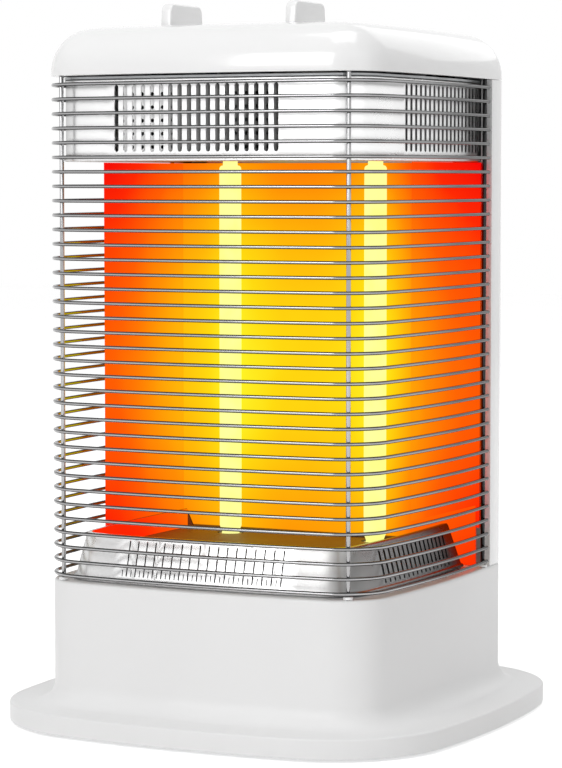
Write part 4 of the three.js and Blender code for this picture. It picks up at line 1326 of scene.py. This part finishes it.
@dataclass
class Tray:
    """The sloped bright skirt round the lamps' feet, with its rim and sunken floor."""

    low: float = 103.3 * MM
    high: float = 135.5 * MM
    bottom_inset: float = 9 * MM
    top_inset: float = 18 * MM
    rim: float = 4 * MM
    sheet: float = 0.9 * MM
    floor: float = 122.3 * MM
    floor_sheet: float = 1.4 * MM
    bottom_rear: float = 62 * MM
    top_rear: float = 54 * MM
    side_share: float = 0.94
    rear_return: float = 5 * MM
    rear_rise: float = 0.4 * MM
    slot_pitch: float = 7 * MM
    front_count: int = 18
    front_width: float = 1.0 * MM
    tab_width: float = 0.7 * MM
    tab_height: float = 4.5 * MM
    tab_shift: float = -3.4 * MM
    side_count: int = 16
    side_width: float = 2.6 * MM
    bead_width: float = 2.2 * MM
    side_shift: float = -14 * MM
    lamp_hole: float = 9.8 * MM

    def ring(self, inset: float, rear: float, height: float) -> Loop:
        """One level of the tray, whose rim is low along the rear so that the light falls through.

        Args:
            inset: How far inside the body's plan it lies.
            rear: Where it ends, along Y.
            height: How high it lies.

        Returns:
            Its loop.
        """
        loop = [(x * self.side_share, y, height) for x, y in BODY_PLAN.front_path(inset, rear)]
        low = height if height < self.floor else self.floor + self.rear_rise + (height - self.floor) * 0.1
        end = abs(loop[-1][0]) - self.rear_return
        last = 1.0 if loop[-1][0] > 0 else -1.0
        return [*loop, (last * end, rear, low), (-last * end, rear, low)]

    def rings(self) -> list[Loop]:
        """The tray's loops.

        Returns:
            The loops, from the floor's underside over the rim and down to the floor.
        """
        s, core, core_rear = self.sheet, self.top_inset + self.rim, self.top_rear - self.rim
        loops = [self.ring(core - s, core_rear + s, self.floor - self.floor_sheet),
                 self.ring(core - s, core_rear + s, self.high - s),
                 self.ring(self.top_inset + s, self.top_rear - s, self.high - s),
                 self.ring(self.bottom_inset + s, self.bottom_rear - s, self.low)]
        for a in turns(6, math.pi):
            loops.append(self.ring(self.bottom_inset + 0.2 * MM - 1.5 * MM * math.sin(a), self.bottom_rear,
                                   self.low + 1.4 * MM * (1 - math.cos(a))))
        slope = (self.top_inset - self.bottom_inset) / (self.high - self.low)
        shoulder = self.high - 1.2 * MM
        loops.append(self.ring(self.bottom_inset + slope * 3.6 * MM, self.bottom_rear - 0.5 * MM,
                               self.low + 3.6 * MM))
        loops.append(self.ring(self.top_inset - slope * 1.2 * MM, self.top_rear + 0.3 * MM, shoulder))
        for a in turns(4)[1:]:
            loops.append(self.ring(self.top_inset + 1.0 * MM * (1 - math.cos(a)), self.top_rear,
                                   shoulder + 1.2 * MM * math.sin(a)))
        loops.append(self.ring(core - 0.8 * MM, core_rear, self.high))
        loops.append(self.ring(core, core_rear, self.high - 0.8 * MM))
        loops.append(self.ring(core, core_rear, self.floor + 1.0 * MM))
        loops.append(self.ring(core + 1.0 * MM, core_rear - 1.0 * MM, self.floor))
        return loops

    def slots(self) -> list[bpy.types.Object]:
        """The cutters of its slots: thin ones with small tabs in front, wider ones at the sides.

        Returns:
            The rows.
        """
        low, high = self.low + 5 * MM, self.high - 5.5 * MM
        near, far = -BODY_PLAN.half, -BODY_PLAN.half + self.top_inset + 3.2 * MM
        front = slot_row("slots", self.front_count, self.slot_pitch, self.front_width, low, high + 2.5 * MM,
                         near, far)
        tabs = slot_row("slots", self.front_count, self.slot_pitch, self.tab_width, low, low + self.tab_height, near,
                        far)
        tabs = turned_and_moved(tabs, 0.0, (self.tab_shift, 0.0, 0.0))
        skin = far - 1.7 * MM
        side = slot_row("slots", self.side_count, self.slot_pitch, self.side_width, low + self.tab_height, high, near,
                        skin)
        beads = slot_row("slots", self.side_count, self.slot_pitch, self.bead_width, low - 0.6 * MM, low + 2.4 * MM,
                         near, skin)
        shift = (1 - self.side_share) * BODY_PLAN.half
        tools = [front, tabs]
        for row in (side, beads):
            tools.append(turned_copy(row, 90.0, (-shift, self.side_shift, 0.0)))
            tools.append(turned_and_moved(row, -90.0, (shift, self.side_shift, 0.0)))
        return tools

    def paint(self, tray: bpy.types.Object) -> None:
        """Gives the floor its brown of painted reflection, the slits' walls painted shade and the lit side walls
        painted glow.

        Args:
            tray: The dressed tray.
        """
        for finish in (TRAY_FLOOR, SLIT_SHADE, GLOW_WING_INNER):
            tray.data.materials.append(finish.build())
        reach = self.side_share * (BODY_PLAN.half - self.top_inset - self.rim) + 0.5 * MM
        front = -BODY_PLAN.half + self.top_inset + self.rim - 3 * MM
        for face in tray.data.polygons:
            spot, lean = face.center, face.normal.x
            within = abs(spot.x) < reach and spot.y > front
            if within and self.floor - 0.2 * MM < spot.z < self.high - 0.5 * MM:
                face.material_index = TrayFace.FLOOR.value
            if within and lean * spot.x < -0.7 * abs(spot.x) and spot.z > self.floor + 0.5 * MM:
                face.material_index = TrayFace.LIT_WALL.value
            if abs(lean) > 0.9 and abs(spot.x) < 70 * MM and spot.y < -90 * MM:
                face.material_index = TrayFace.SLIT_SHADE.value

    def build(self) -> None:
        """Builds and finishes the tray, its floor brown with painted reflection of the glow."""
        tray = swept("tray_skirt", self.rings())
        carve(tray, self.slots())
        carve(tray, rods("hole", both_sides(LAMP_PLACE), self.floor, self.lamp_hole, 6 * MM))
        dress(tray, TRAY_SHEET, "lower_tray", 40.0)
        self.paint(tray)


@dataclass
class Band:
    """The bright slotted band below the cap, and the pierced screen behind it."""

    low: float = 394 * MM
    high: float = 450.2 * MM
    inset: float = 10 * MM
    sheet: float = 1 * MM
    rear: float = 86 * MM
    bead: float = 1.3 * MM
    slot_width: float = 3.4 * MM
    slot_foot: float = 6.5 * MM
    slot_head: float = 4 * MM
    front_count: int = 18
    front_pitch: float = 7.2 * MM
    front_shift: float = -4.4 * MM
    side_count: int = 19
    side_pitch: float = 7.3 * MM
    side_shift: float = 12 * MM
    screen_inset: float = 16 * MM
    screen_sheet: float = 0.8 * MM
    screen_rear: float = 72.5 * MM
    screen_low: float = 397.8 * MM
    hole_radius: float = 1.35 * MM
    hole_width: float = 2.6 * MM
    hole_pitch: float = 8 * MM
    hole_count: int = 17
    hole_rows: int = 5

    def section(self) -> list[Point]:
        """The band's section with its two rolled edges.

        Returns:
            Pairs of inset and height.
        """
        inner, low, high, bead = self.inset + self.sheet, self.low, self.high, self.bead
        lower = [(self.inset - bead * math.sin(a) * 1.1 + 0.1 * MM, low + bead * (1 - math.cos(a)))
                 for a in turns(8, math.pi)]
        upper = [(self.inset - bead * math.sin(a) * 0.7 + 0.1 * MM, high - bead * (1 + math.cos(a)))
                 for a in turns(8, math.pi)]
        return [(inner, high - 0.4 * MM), (inner, low + 0.4 * MM), *lower, (self.inset, low + 3.2 * MM),
                (self.inset, high - 3.2 * MM), *upper]

    def slots(self) -> list[bpy.types.Object]:
        """The cutters of its slots.

        Returns:
            The front row and both side rows.
        """
        low, high = self.low + self.slot_foot, self.high - self.slot_head
        near, far = -BODY_PLAN.half, -BODY_PLAN.half + self.inset + 4.4 * MM
        row = slot_row("slots", self.front_count, self.front_pitch, self.slot_width, low, high, near, far)
        row = turned_and_moved(row, 0.0, (self.front_shift, 0.0, 0.0))
        side = slot_row("slots", self.side_count, self.side_pitch, self.slot_width, low, high, near, far)
        left = turned_copy(side, -90.0, (0.0, self.side_shift, 0.0))
        return [row, left, turned_and_moved(side, 90.0, (0.0, self.side_shift, 0.0))]

    def screen(self) -> bpy.types.Object:
        """The pierced screen.

        Returns:
            The screen.
        """
        a, b = self.screen_inset, self.screen_inset + self.screen_sheet
        section = [(b, self.high), (b, self.screen_low), (a, self.screen_low), (a, self.high)]
        screen = swept("screen_sheet", along_front(section, self.screen_rear))
        near, far = -BODY_PLAN.half, -BODY_PLAN.half + self.screen_inset + 6 * MM
        rows = []
        for i in range(self.hole_rows):
            z = self.screen_low + (6 + 9 * i) * MM
            row = slot_row("holes", self.hole_count, self.hole_pitch, self.hole_width, z - self.hole_radius,
                           z + self.hole_radius, near, far)
            rows += [turned_copy(row, -90.0, (0.0, 0.0, 0.0)), turned_copy(row, 90.0, (0.0, 0.0, 0.0)), row]
        carve(screen, rows)
        return screen

    def build(self) -> None:
        """Builds and finishes the band and its screen."""
        band = swept("band_sheet", along_front(self.section(), self.rear))
        carve(band, self.slots())
        dress(band, BAND_SHEET, "upper_band", 40.0)
        dress(self.screen(), SCREEN, "vent_screen", 40.0)


class LitFace(Enum):
    """Which of the reflector's materials a face has."""

    BACK = 0
    WING_INNER = 1
    WING_OUTER = 2


@dataclass
class Reflector:
    """The sheet behind the lamps, with its two wings, whose faces carry painted glow."""

    sheet: float = 0.8 * MM
    rear: float = 75.5 * MM
    rear_half: float = 123.6 * MM
    wing_front: Point = (121 * MM, -42 * MM)
    bend: float = 4 * MM
    wing_low_left: float = 131 * MM
    wing_low_right: float = 148 * MM
    low: float = 103.3 * MM
    high: float = 393.7 * MM

    def half_path(self, step: float) -> list[Point]:
        """The right half of the sheet's plan, from the wing's front edge to the bend.

        Args:
            step: How far inside the outer face it lies.

        Returns:
            Its points.
        """
        x, y = self.rear_half - self.bend, self.rear - self.bend
        return [(self.wing_front[0] - step, self.wing_front[1]), *arc((x, y), self.bend - step, 0.0, math.pi / 2, 8)]

    def sheet_metal(self) -> bpy.types.Object:
        """The sheet with its two wings and its foot.

        Returns:
            The sheet, which is still undressed.
        """
        outer, inner = self.half_path(0.0), self.half_path(self.sheet)
        outer += [(-x, y) for x, y in reversed(outer)]
        inner += [(-x, y) for x, y in reversed(inner)]
        wings = standing_sheet("wings", outer, inner, self.wing_low_left, self.high)
        clear = block("clear", (100 * MM, self.wing_front[1] - 5 * MM, self.wing_low_left - 5 * MM),
                      (self.rear_half + 5 * MM, self.rear - self.bend, self.wing_low_right))
        carve(wings, [clear])
        x = self.rear_half - self.bend
        foot = block("foot", (-x, self.rear - self.sheet, self.low), (x, self.rear, self.wing_low_left - 0.01 * MM))
        return joined("reflector_sheet", [wings, foot])

    def build(self) -> None:
        """Builds the sheet and gives its faces painted glow, an emission in place of the lamps' light on them."""
        piece = self.sheet_metal()
        dress(piece, GLOW_BACK, "reflector")
        for finish in (GLOW_WING_INNER, GLOW_WING_OUTER):
            piece.data.materials.append(finish.build())
        for face in piece.data.polygons:
            (x, y, _), lean = face.center, face.normal
            if abs(x) > self.rear_half - self.bend + 0.2 * MM and y < self.rear - 0.3 * MM:
                outside = lean.x * x > 0 or (x > 0 and lean.y < -0.5)
                face.material_index = (LitFace.WING_OUTER if outside else LitFace.WING_INNER).value
            if abs(x) < self.rear_half and y > self.rear - 0.1 * MM:
                face.material_index = LitFace.BACK.value


@dataclass
class Lamps:
    """The two lit quartz tubes and the ceramics at their feet."""

    place: Point = LAMP_PLACE
    radius: float = 8 * MM
    neck: float = 6.4 * MM
    wall: float = 1.2 * MM
    low: float = 113.1 * MM
    taper_low: float = 123.2 * MM
    taper_high: float = 127.5 * MM
    shoulder: float = 389.2 * MM
    head_radius: float = 5.4 * MM
    high: float = 410 * MM

    def tube_profile(self) -> list[Point]:
        """A tube's section: a narrower neck below, a round shoulder above.

        Returns:
            Pairs of radius and height.
        """
        reach = self.radius - self.head_radius
        outer = [(self.neck, self.low), (self.neck, self.taper_low), (self.radius, self.taper_high)]
        outer += [(self.head_radius + reach * math.cos(a), self.shoulder + reach * math.sin(a)) for a in turns(6)]
        outer.append((self.head_radius, self.high))
        w = self.wall
        inner = [(self.head_radius - w, self.high), (self.head_radius - w, self.shoulder + reach - w),
                 (self.radius - w, self.shoulder - w), (self.radius - w, self.taper_high + w),
                 (self.neck - w, self.taper_low), (self.neck - w, self.low)]
        return outer + inner

    def ceramic_profile(self) -> list[Point]:
        """A lower ceramic's section, a stepped collar round the tube's neck.

        Returns:
            Pairs of radius and height.
        """
        points = [(2.0, 104.8), (9.0, 104.8), (9.5, 105.3), (9.5, 120.6), (9.1, 121.3), (6.9, 121.3), (6.7, 120.9),
                  (6.7, 112.8), (2.0, 112.8)]
        return [(r * MM, z * MM) for r, z in points]

    def build(self) -> None:
        """Builds and finishes both lamps."""
        for place, word in zip(both_sides(self.place), ("left", "right"), strict=True):
            tube = lathe(f"lamp_tube_{word}", self.tube_profile(), place, 56)
            dress(tube, LAMP_LIGHT, f"quartz_tube_{word}", 50.0)
            collar = lathe(f"lamp_collar_{word}", self.ceramic_profile(), place, 40)
            dress(collar, CERAMIC, f"lower_ceramic_{word}")


@dataclass
class Cap:
    """The gloss cap: a crowned shell with a large round edge, and two wells for the knobs."""

    low: float = 453 * MM
    edge_round: float = 30 * MM
    edge_top: float = 486 * MM
    crest: float = 488.5 * MM
    wall: float = 3 * MM
    rim_width: float = 6.5 * MM
    rim_height: float = 5.5 * MM
    knob_place: Point = KNOB_PLACE
    well_radius: float = 27.5 * MM
    well_floor: float = 478 * MM
    shaft_hole: float = 3.6 * MM
    screw_place: Point = (96 * MM, 24 * MM)
    boss_radius: float = 5 * MM
    deck: float = 452.3 * MM
    turn_end: float = math.radians(80)

    def crown(self, inset: float) -> list[Loop]:
        """The loops of the edge and the crown, at a depth below the surface.

        Args:
            inset: How far below the outer surface they lie.

        Returns:
            The loops, from the edge's foot to the middle.
        """
        radius, start = self.edge_round - inset, self.edge_top - self.edge_round
        loops = [level(BODY_PLAN, inset + radius * (1 - math.cos(a)), start + radius * math.sin(a))
                 for a in turns(12, self.turn_end)]
        last = BODY_PLAN.outline(inset + radius * (1 - math.cos(self.turn_end)))
        foot = start + radius * math.sin(self.turn_end)
        rise = self.crest - inset - foot
        power = math.tan(math.pi / 2 - self.turn_end) * max(x for x, _ in last) / rise
        for share in (0.97, 0.94, 0.9, 0.86, 0.8, 0.72, 0.62, 0.5, 0.36, 0.2, 0.06):
            loops.append([(x * share, y * share, foot + rise * (1 - share**power)) for x, y in last])
        return loops

    def shell(self) -> bpy.types.Object:
        """The moulded shell with its wells, bosses and sockets.

        Returns:
            The shell.
        """
        outer = [level(BODY_PLAN, 0.4 * MM, self.low), level(BODY_PLAN, 0.0, self.low + 0.4 * MM), *self.crown(0.0)]
        step = self.low + self.rim_height
        inner = [loop for loop in self.crown(self.wall) if loop[0][2] > step + 0.3 * MM]
        inner = [level(BODY_PLAN, self.rim_width, self.low), level(BODY_PLAN, self.rim_width, step), *inner]
        shell = swept("cap_shell", [*reversed(inner), *outer])
        knobs, screws = both_sides(self.knob_place), both_sides(self.screw_place)
        boss_top, pad_low = self.edge_top - self.wall / 2, self.well_floor - self.wall
        pads = rods("pad", knobs, (pad_low + boss_top) / 2, self.well_radius + self.wall, boss_top - pad_low)
        pads += rods("boss", screws, (self.deck + boss_top) / 2, self.boss_radius, boss_top - self.deck)
        carve(shell, pads, "UNION")
        high = self.crest + 5 * MM
        carve(shell, rods("well", knobs, (self.well_floor + high) / 2, self.well_radius, high - self.well_floor, 96))
        holes = rods("hole", knobs, self.well_floor, self.shaft_hole, 20 * MM)
        holes += rods("hole", screws, self.deck + 5 * MM, SCREW_HOLE, 10.5 * MM)
        holes += rods("socket", upright_places(), self.low, POST_SOCKET, SOCKET_LENGTH)
        carve(shell, holes)
        return shell

    def build(self) -> None:
        """Builds and finishes the cap."""
        shell = self.shell()
        bevel(shell, 0.5 * MM, 3, 50.0)
        dress(shell, GLOSS_WHITE, "top_cap", 40.0)


@dataclass
class Knobs:
    """Two discs with upright blades across them, which turn on their shafts."""

    place: Point = KNOB_PLACE
    disc_radius: float = 26.5 * MM
    disc_low: float = 478.5 * MM
    disc_height: float = 4.6 * MM
    top: float = 503 * MM
    blade_length: float = 49 * MM
    blade_top_length: float = 46 * MM
    blade_thickness: float = 8 * MM
    blade_round: float = 6 * MM
    bore: float = 2.8 * MM
    shaft_top: float = 490.5 * MM

    def blade(self, x: float) -> bpy.types.Object:
        """The blade of one knob, drawn in its side view.

        Args:
            x: Where the knob stands.

        Returns:
            The blade.
        """
        y, low, r = self.place[1], self.disc_low + 1 * MM, self.blade_round
        half, top_half = self.blade_length / 2, self.blade_top_length / 2
        points = [(-half, low), (half, low), *arc((top_half - r, self.top - r), r, 0.0, math.pi / 2, 10),
                  *arc((r - top_half, self.top - r), r, math.pi / 2, math.pi, 10)]
        left = x - self.blade_thickness / 2
        piece = extruded("blade", [(left, y + along, z) for along, z in points], (self.blade_thickness, 0.0, 0.0))
        bevel(piece, 1.3 * MM, 4)
        return piece

    def disc(self, name: str, x: float) -> bpy.types.Object:
        """The disc of one knob, with a rounded and slightly dished rim.

        Args:
            name: The knob's name.
            x: Where it stands.

        Returns:
            The disc.
        """
        r, low, high = self.disc_radius, self.disc_low, self.disc_low + self.disc_height
        rim = [(r - 1.2 * MM * (1 - math.cos(a)), high - 1.2 * MM * (1 - math.sin(a))) for a in turns(5)]
        profile = [(0.0, low), (r - 0.4 * MM, low), (r, low + 0.4 * MM), *rim, (r - 4 * MM, high - 0.5 * MM),
                   (0.0, high - 0.3 * MM)]
        return lathe(name, profile, (x, self.place[1]), 96)

    def build(self) -> None:
        """Builds and finishes both knobs."""
        for side, word in zip(SIDES, ("power", "timer"), strict=True):
            x = side * self.place[0]
            knob = self.disc(f"{word}_knob_moulding", x)
            carve(knob, [self.blade(x)], "UNION")
            carve(knob, [rod("bore", (x, self.place[1], self.shaft_top - 10 * MM), self.bore, 20.6 * MM)])
            dress(knob, GLOSS_WHITE, f"{word}_knob", 40.0, f"{word}_dial")


@dataclass
class RearCover:
    """The rear shell with its air slots, and the recessed screws that hold it."""

    front: float = 77.6 * MM
    low: float = 103.3 * MM
    high: float = 452.7 * MM
    wall: float = 2.5 * MM
    lip: float = 6 * MM
    lip_sheet: float = 2 * MM
    boss_radius: float = 7 * MM
    boss_floor: float = 5 * MM
    well_radius: float = 4.3 * MM
    screw_x: float = 70 * MM
    screw_levels: tuple[float, float] = (143.3 * MM, 372.7 * MM)
    vent_width: float = 96 * MM
    vent_height: float = 4 * MM
    vent_pitch: float = 9 * MM
    vent_count: int = 12
    vent_near: float = 122 * MM
    vent_reach: float = 20 * MM

    def shell(self) -> bpy.types.Object:
        """The shell with its lips, bosses, wells and air slots.

        Returns:
            The shell.
        """
        lip_x = BODY_PLAN.flank(self.wall, self.front) - self.lip
        lip_y = self.front + self.lip_sheet
        outer = BODY_PLAN.rear_path(0.0, self.front)
        inner = BODY_PLAN.rear_path(self.wall, lip_y)
        points = [*outer, (-lip_x, self.front), (-lip_x, lip_y), *reversed(inner), (lip_x, lip_y),
                  (lip_x, self.front)]
        shell = prism("rear_shell", points, self.low, self.high)
        back = BODY_PLAN.flank(self.wall / 2, self.screw_x)
        spots = [(side * self.screw_x, z) for side in SIDES for z in self.screw_levels]
        front = self.front + 0.3 * MM
        bosses = [rod("boss", (x, (front + back) / 2, z), self.boss_radius, back - front, Axis.ALONG_Y)
                  for x, z in spots]
        carve(shell, bosses, "UNION")
        start, end = self.front + self.boss_floor, BODY_PLAN.half + 2 * MM
        wells = [rod("well", (x, (start + end) / 2, z), self.well_radius, end - start, Axis.ALONG_Y) for x, z in spots]
        carve(shell, wells)
        carve(shell, [rod("hole", (x, self.front, z), SCREW_HOLE, 20 * MM, Axis.ALONG_Y) for x, z in spots])
        carve(shell, [self.vents()])
        return shell

    def vents(self) -> bpy.types.Object:
        """The cutters of the air slots, round at both ends.

        Returns:
            All of them, as one object.
        """
        half, r = self.vent_width / 2, self.vent_height / 2
        lowest = (self.low + self.high) / 2 - (self.vent_count - 1) * self.vent_pitch / 2
        points = [*arc((half - r, 0.0), r, -math.pi / 2, math.pi / 2, 8),
                  *arc((r - half, 0.0), r, math.pi / 2, 3 * math.pi / 2, 8)]
        piece = extruded("vents", [(x, self.vent_near, lowest + z) for x, z in points], (0.0, self.vent_reach, 0.0))
        return repeated(piece, self.vent_count, (0.0, 0.0, self.vent_pitch))

    def build(self) -> None:
        """Builds and finishes the rear cover."""
        shell = self.shell()
        bevel(shell, 0.5 * MM, 3, 50.0)
        dress(shell, GLOSS_WHITE, "rear_cover", 40.0)


@dataclass
class Screws:
    """Pan-head screws with a cross recess, where their heads show."""

    head_radius: float = 4 * MM
    head_height: float = 2.2 * MM
    shank_radius: float = 1.95 * MM
    cross_reach: float = 2.4 * MM
    cross_half: float = 0.5 * MM
    cross_depth: float = 1.1 * MM

    def screw(self, name: str, length: float) -> bpy.types.Object:
        """A screw that points up from its head's outer face at the origin.

        Args:
            name: Its name.
            length: The shank's length.

        Returns:
            The screw.
        """
        r, h = self.head_radius, self.head_height
        crown = [(r * math.sin(a), 0.9 * MM * (1 - math.cos(a))) for a in turns(5)]
        profile = [(0.0, 0.0), *crown[1:], (r, h), (self.shank_radius, h), (self.shank_radius, h + length - 0.8 * MM),
                   (self.shank_radius - 0.6 * MM, h + length), (0.0, h + length)]
        piece = lathe(name, profile, (0.0, 0.0), 32)
        reach, half = self.cross_reach, self.cross_half
        for x, y in ((reach, half), (half, reach)):
            carve(piece, [block("slot", (-x, -y, -1 * MM), (x, y, self.cross_depth))])
        return piece

    def build(self) -> None:
        """Builds the screws below the foot and in the rear cover."""
        upright = [f"bottom_screw_{i}" for i in range(1, 5)]
        facing_back = [f"rear_cover_screw_{i}" for i in range(1, 5)]
        for node in upright + facing_back:
            low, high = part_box(node)
            middle = (low + high) / 2
            turned = node in facing_back
            length = (high.y - low.y if turned else high.z - low.z) - self.head_height
            piece = self.screw(f"{node}_detail", length)
            if turned:
                piece.rotation_euler = (math.pi / 2, 0.0, 0.0)
                piece.location = (middle.x, high.y, middle.z)
            else:
                piece.location = (middle.x, middle.y, low.z)
            settle(piece)
            dress(piece, SCREW, node, 40.0)


def background_rays(sheet: NodeSheet) -> bpy.types.NodeSocket:
    """Tells the background that is seen from the light that it casts.

    Args:
        sheet: The tree that asks.

    Returns:
        A socket that is 1 where the eye, gloss or glass sees the background, and 0 for its light.
    """
    path = sheet.add("ShaderNodeLightPath").outputs
    seen = sheet.math("ADD", path["Is Camera Ray"], path["Is Glossy Ray"], clamp=True)
    return sheet.math("ADD", seen, path["Is Transmission Ray"], clamp=True)


@dataclass
class Surroundings:
    """The camera, the light and the pale floor.

    Attributes:
        lens: The camera's focal length, in millimetres.
        sensor: The width of its sensor, in millimetres.
        reach: How far it sees.
        place: Where it stands.
        tilt: How far it looks down, in degrees.
        swing: How far it stands round to the right, in degrees.
        sky_light: How strongly the surround lights the object; what the eye sees has strength 1.
        floor_size: The floor's width.
        floor_glow: The light of the floor, where it is seen.
        middle: What the lamps look at.
        lamps: Each lamp's name, place, width and power in watts.
    """

    lens: float = 135.9
    sensor: float = 36.0
    reach: float = 50.0
    place: tuple[float, float, float] = (0.9227, -1.8507, 0.384)
    tilt: float = 4.1
    swing: float = 26.5
    sky_light: float = 0.42
    floor_size: float = 14.0
    floor_glow: float = 0.57
    middle: tuple[float, float, float] = (0.0, 0.0, 0.25)
    lamps: tuple[tuple[str, tuple[float, float, float], float, float], ...] = (
        ("key", (-0.5, -3.0, 1.6), 1.6, 32.0), ("fill", (2.4, -1.0, 1.4), 1.8, 4.0),
        ("back", (0.4, 2.6, 2.0), 2.0, 8.0), ("top", (0.2, -0.3, 2.8), 1.6, 18.0))

    def camera(self) -> None:
        """Sets up the camera of the photograph."""
        data = bpy.data.cameras.new("camera")
        data.lens, data.sensor_width, data.clip_end = self.lens, self.sensor, self.reach
        camera = bpy.data.objects.new("camera", data)
        camera.location = self.place
        camera.rotation_euler = (math.radians(90 - self.tilt), 0.0, math.radians(self.swing))
        bpy.context.scene.collection.objects.link(camera)
        bpy.context.scene.camera = camera

    def sky(self) -> None:
        """A white surround whose light on matt surfaces is softer than what the eye sees."""
        world = bpy.data.worlds.new("surround")
        world.use_nodes = True
        bpy.context.scene.world = world
        sheet = NodeSheet(world.node_tree)
        background = world.node_tree.nodes["Background"]
        strength = sheet.span(background_rays(sheet), (0.0, 1.0), (self.sky_light, 1.0))
        sheet.feed(strength, background.inputs["Strength"])
        sheet.feed((1.0, 1.0, 1.0, 1.0), background.inputs["Color"])
        bpy.context.scene.view_settings.view_transform = "Standard"
    def lamp(self, name: str, place: Sequence[float], size: float, power: float) -> None:
        """A soft light that looks at the middle of the heater.

        Args:
            name: Its name.
            place: Where it stands.
            size: Its width and height.
            power: Its power, in watts.
        """
        data = bpy.data.lights.new(name, "AREA")
        data.size = size
        data.energy = power
        light = bpy.data.objects.new(name, data)
        light.location = tuple(place)
        light.rotation_euler = (Vector(self.middle) - Vector(place)).to_track_quat("-Z", "Y").to_euler()
        bpy.context.scene.collection.objects.link(light)

    def floor(self) -> None:
        """The pale floor."""
        deselect()
        bpy.ops.mesh.primitive_plane_add(size=self.floor_size)
        plane = bpy.context.object
        plane.name = "floor"
        sheet = MaterialSheet("floor_white")
        tone = sheet.ramp(sheet.noise(3.0), ((0.3, (0.93, 0.93, 0.93)), (0.7, (0.95, 0.95, 0.95))))
        glow = sheet.span(background_rays(sheet), (0.0, 1.0), (0.0, self.floor_glow))
        plane.data.materials.append(sheet.finished({
            "Base Color": tone, "Roughness": 0.9, "Specular IOR Level": 0.1,
            "Emission Color": (1.0, 1.0, 1.0, 1.0), "Emission Strength": glow}))

    def build(self) -> None:
        """Sets up the whole scene around the heater."""
        self.camera()
        self.sky()
        self.floor()
        for name, place, size, power in self.lamps:
            self.lamp(name, place, size, power)


def finish_carried_over() -> None:
    """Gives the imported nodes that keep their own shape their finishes."""
    finishes: dict[Finish, tuple[str, ...]] = {
        PLATED: ("bottom_plate", "plunger_spring", "ceiling_plate", "rear_frame", "control_deck", "upper_holder_left",
                 "upper_holder_right", "lower_holder_left", "lower_holder_right"),
        SCREW: ("frame_screw_left", "frame_screw_right", "cap_screw_left", "cap_screw_right"),
        DARK: ("tip_over_switch", "rotary_switch", "wiring_loom"),
        CREAM: ("tip_over_plunger", "terminal_block", "timer"),
        BRASS: ("thermal_cutout", "power_shaft", "timer_shaft"),
        CARBON: ("carbon_filament_left", "carbon_filament_right"),
        CERAMIC: ("upper_ceramic_left", "upper_ceramic_right"),
    }
    for finish, nodes in finishes.items():
        for node in nodes:
            for material_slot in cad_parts[node].material_slots:
                material_slot.material = finish.build()


def main() -> None:
    """Builds the surroundings and every sub-assembly."""
    logging.basicConfig(level=logging.INFO, format="%(name)s: %(message)s")
    Surroundings().build()
    for part in (Base(), Guard(), Tray(), Band(), Reflector(), Lamps(), Cap(), Knobs(), RearCover(), Screws()):
        part.build()
    finish_carried_over()


if __name__ == "__main__":
    main()
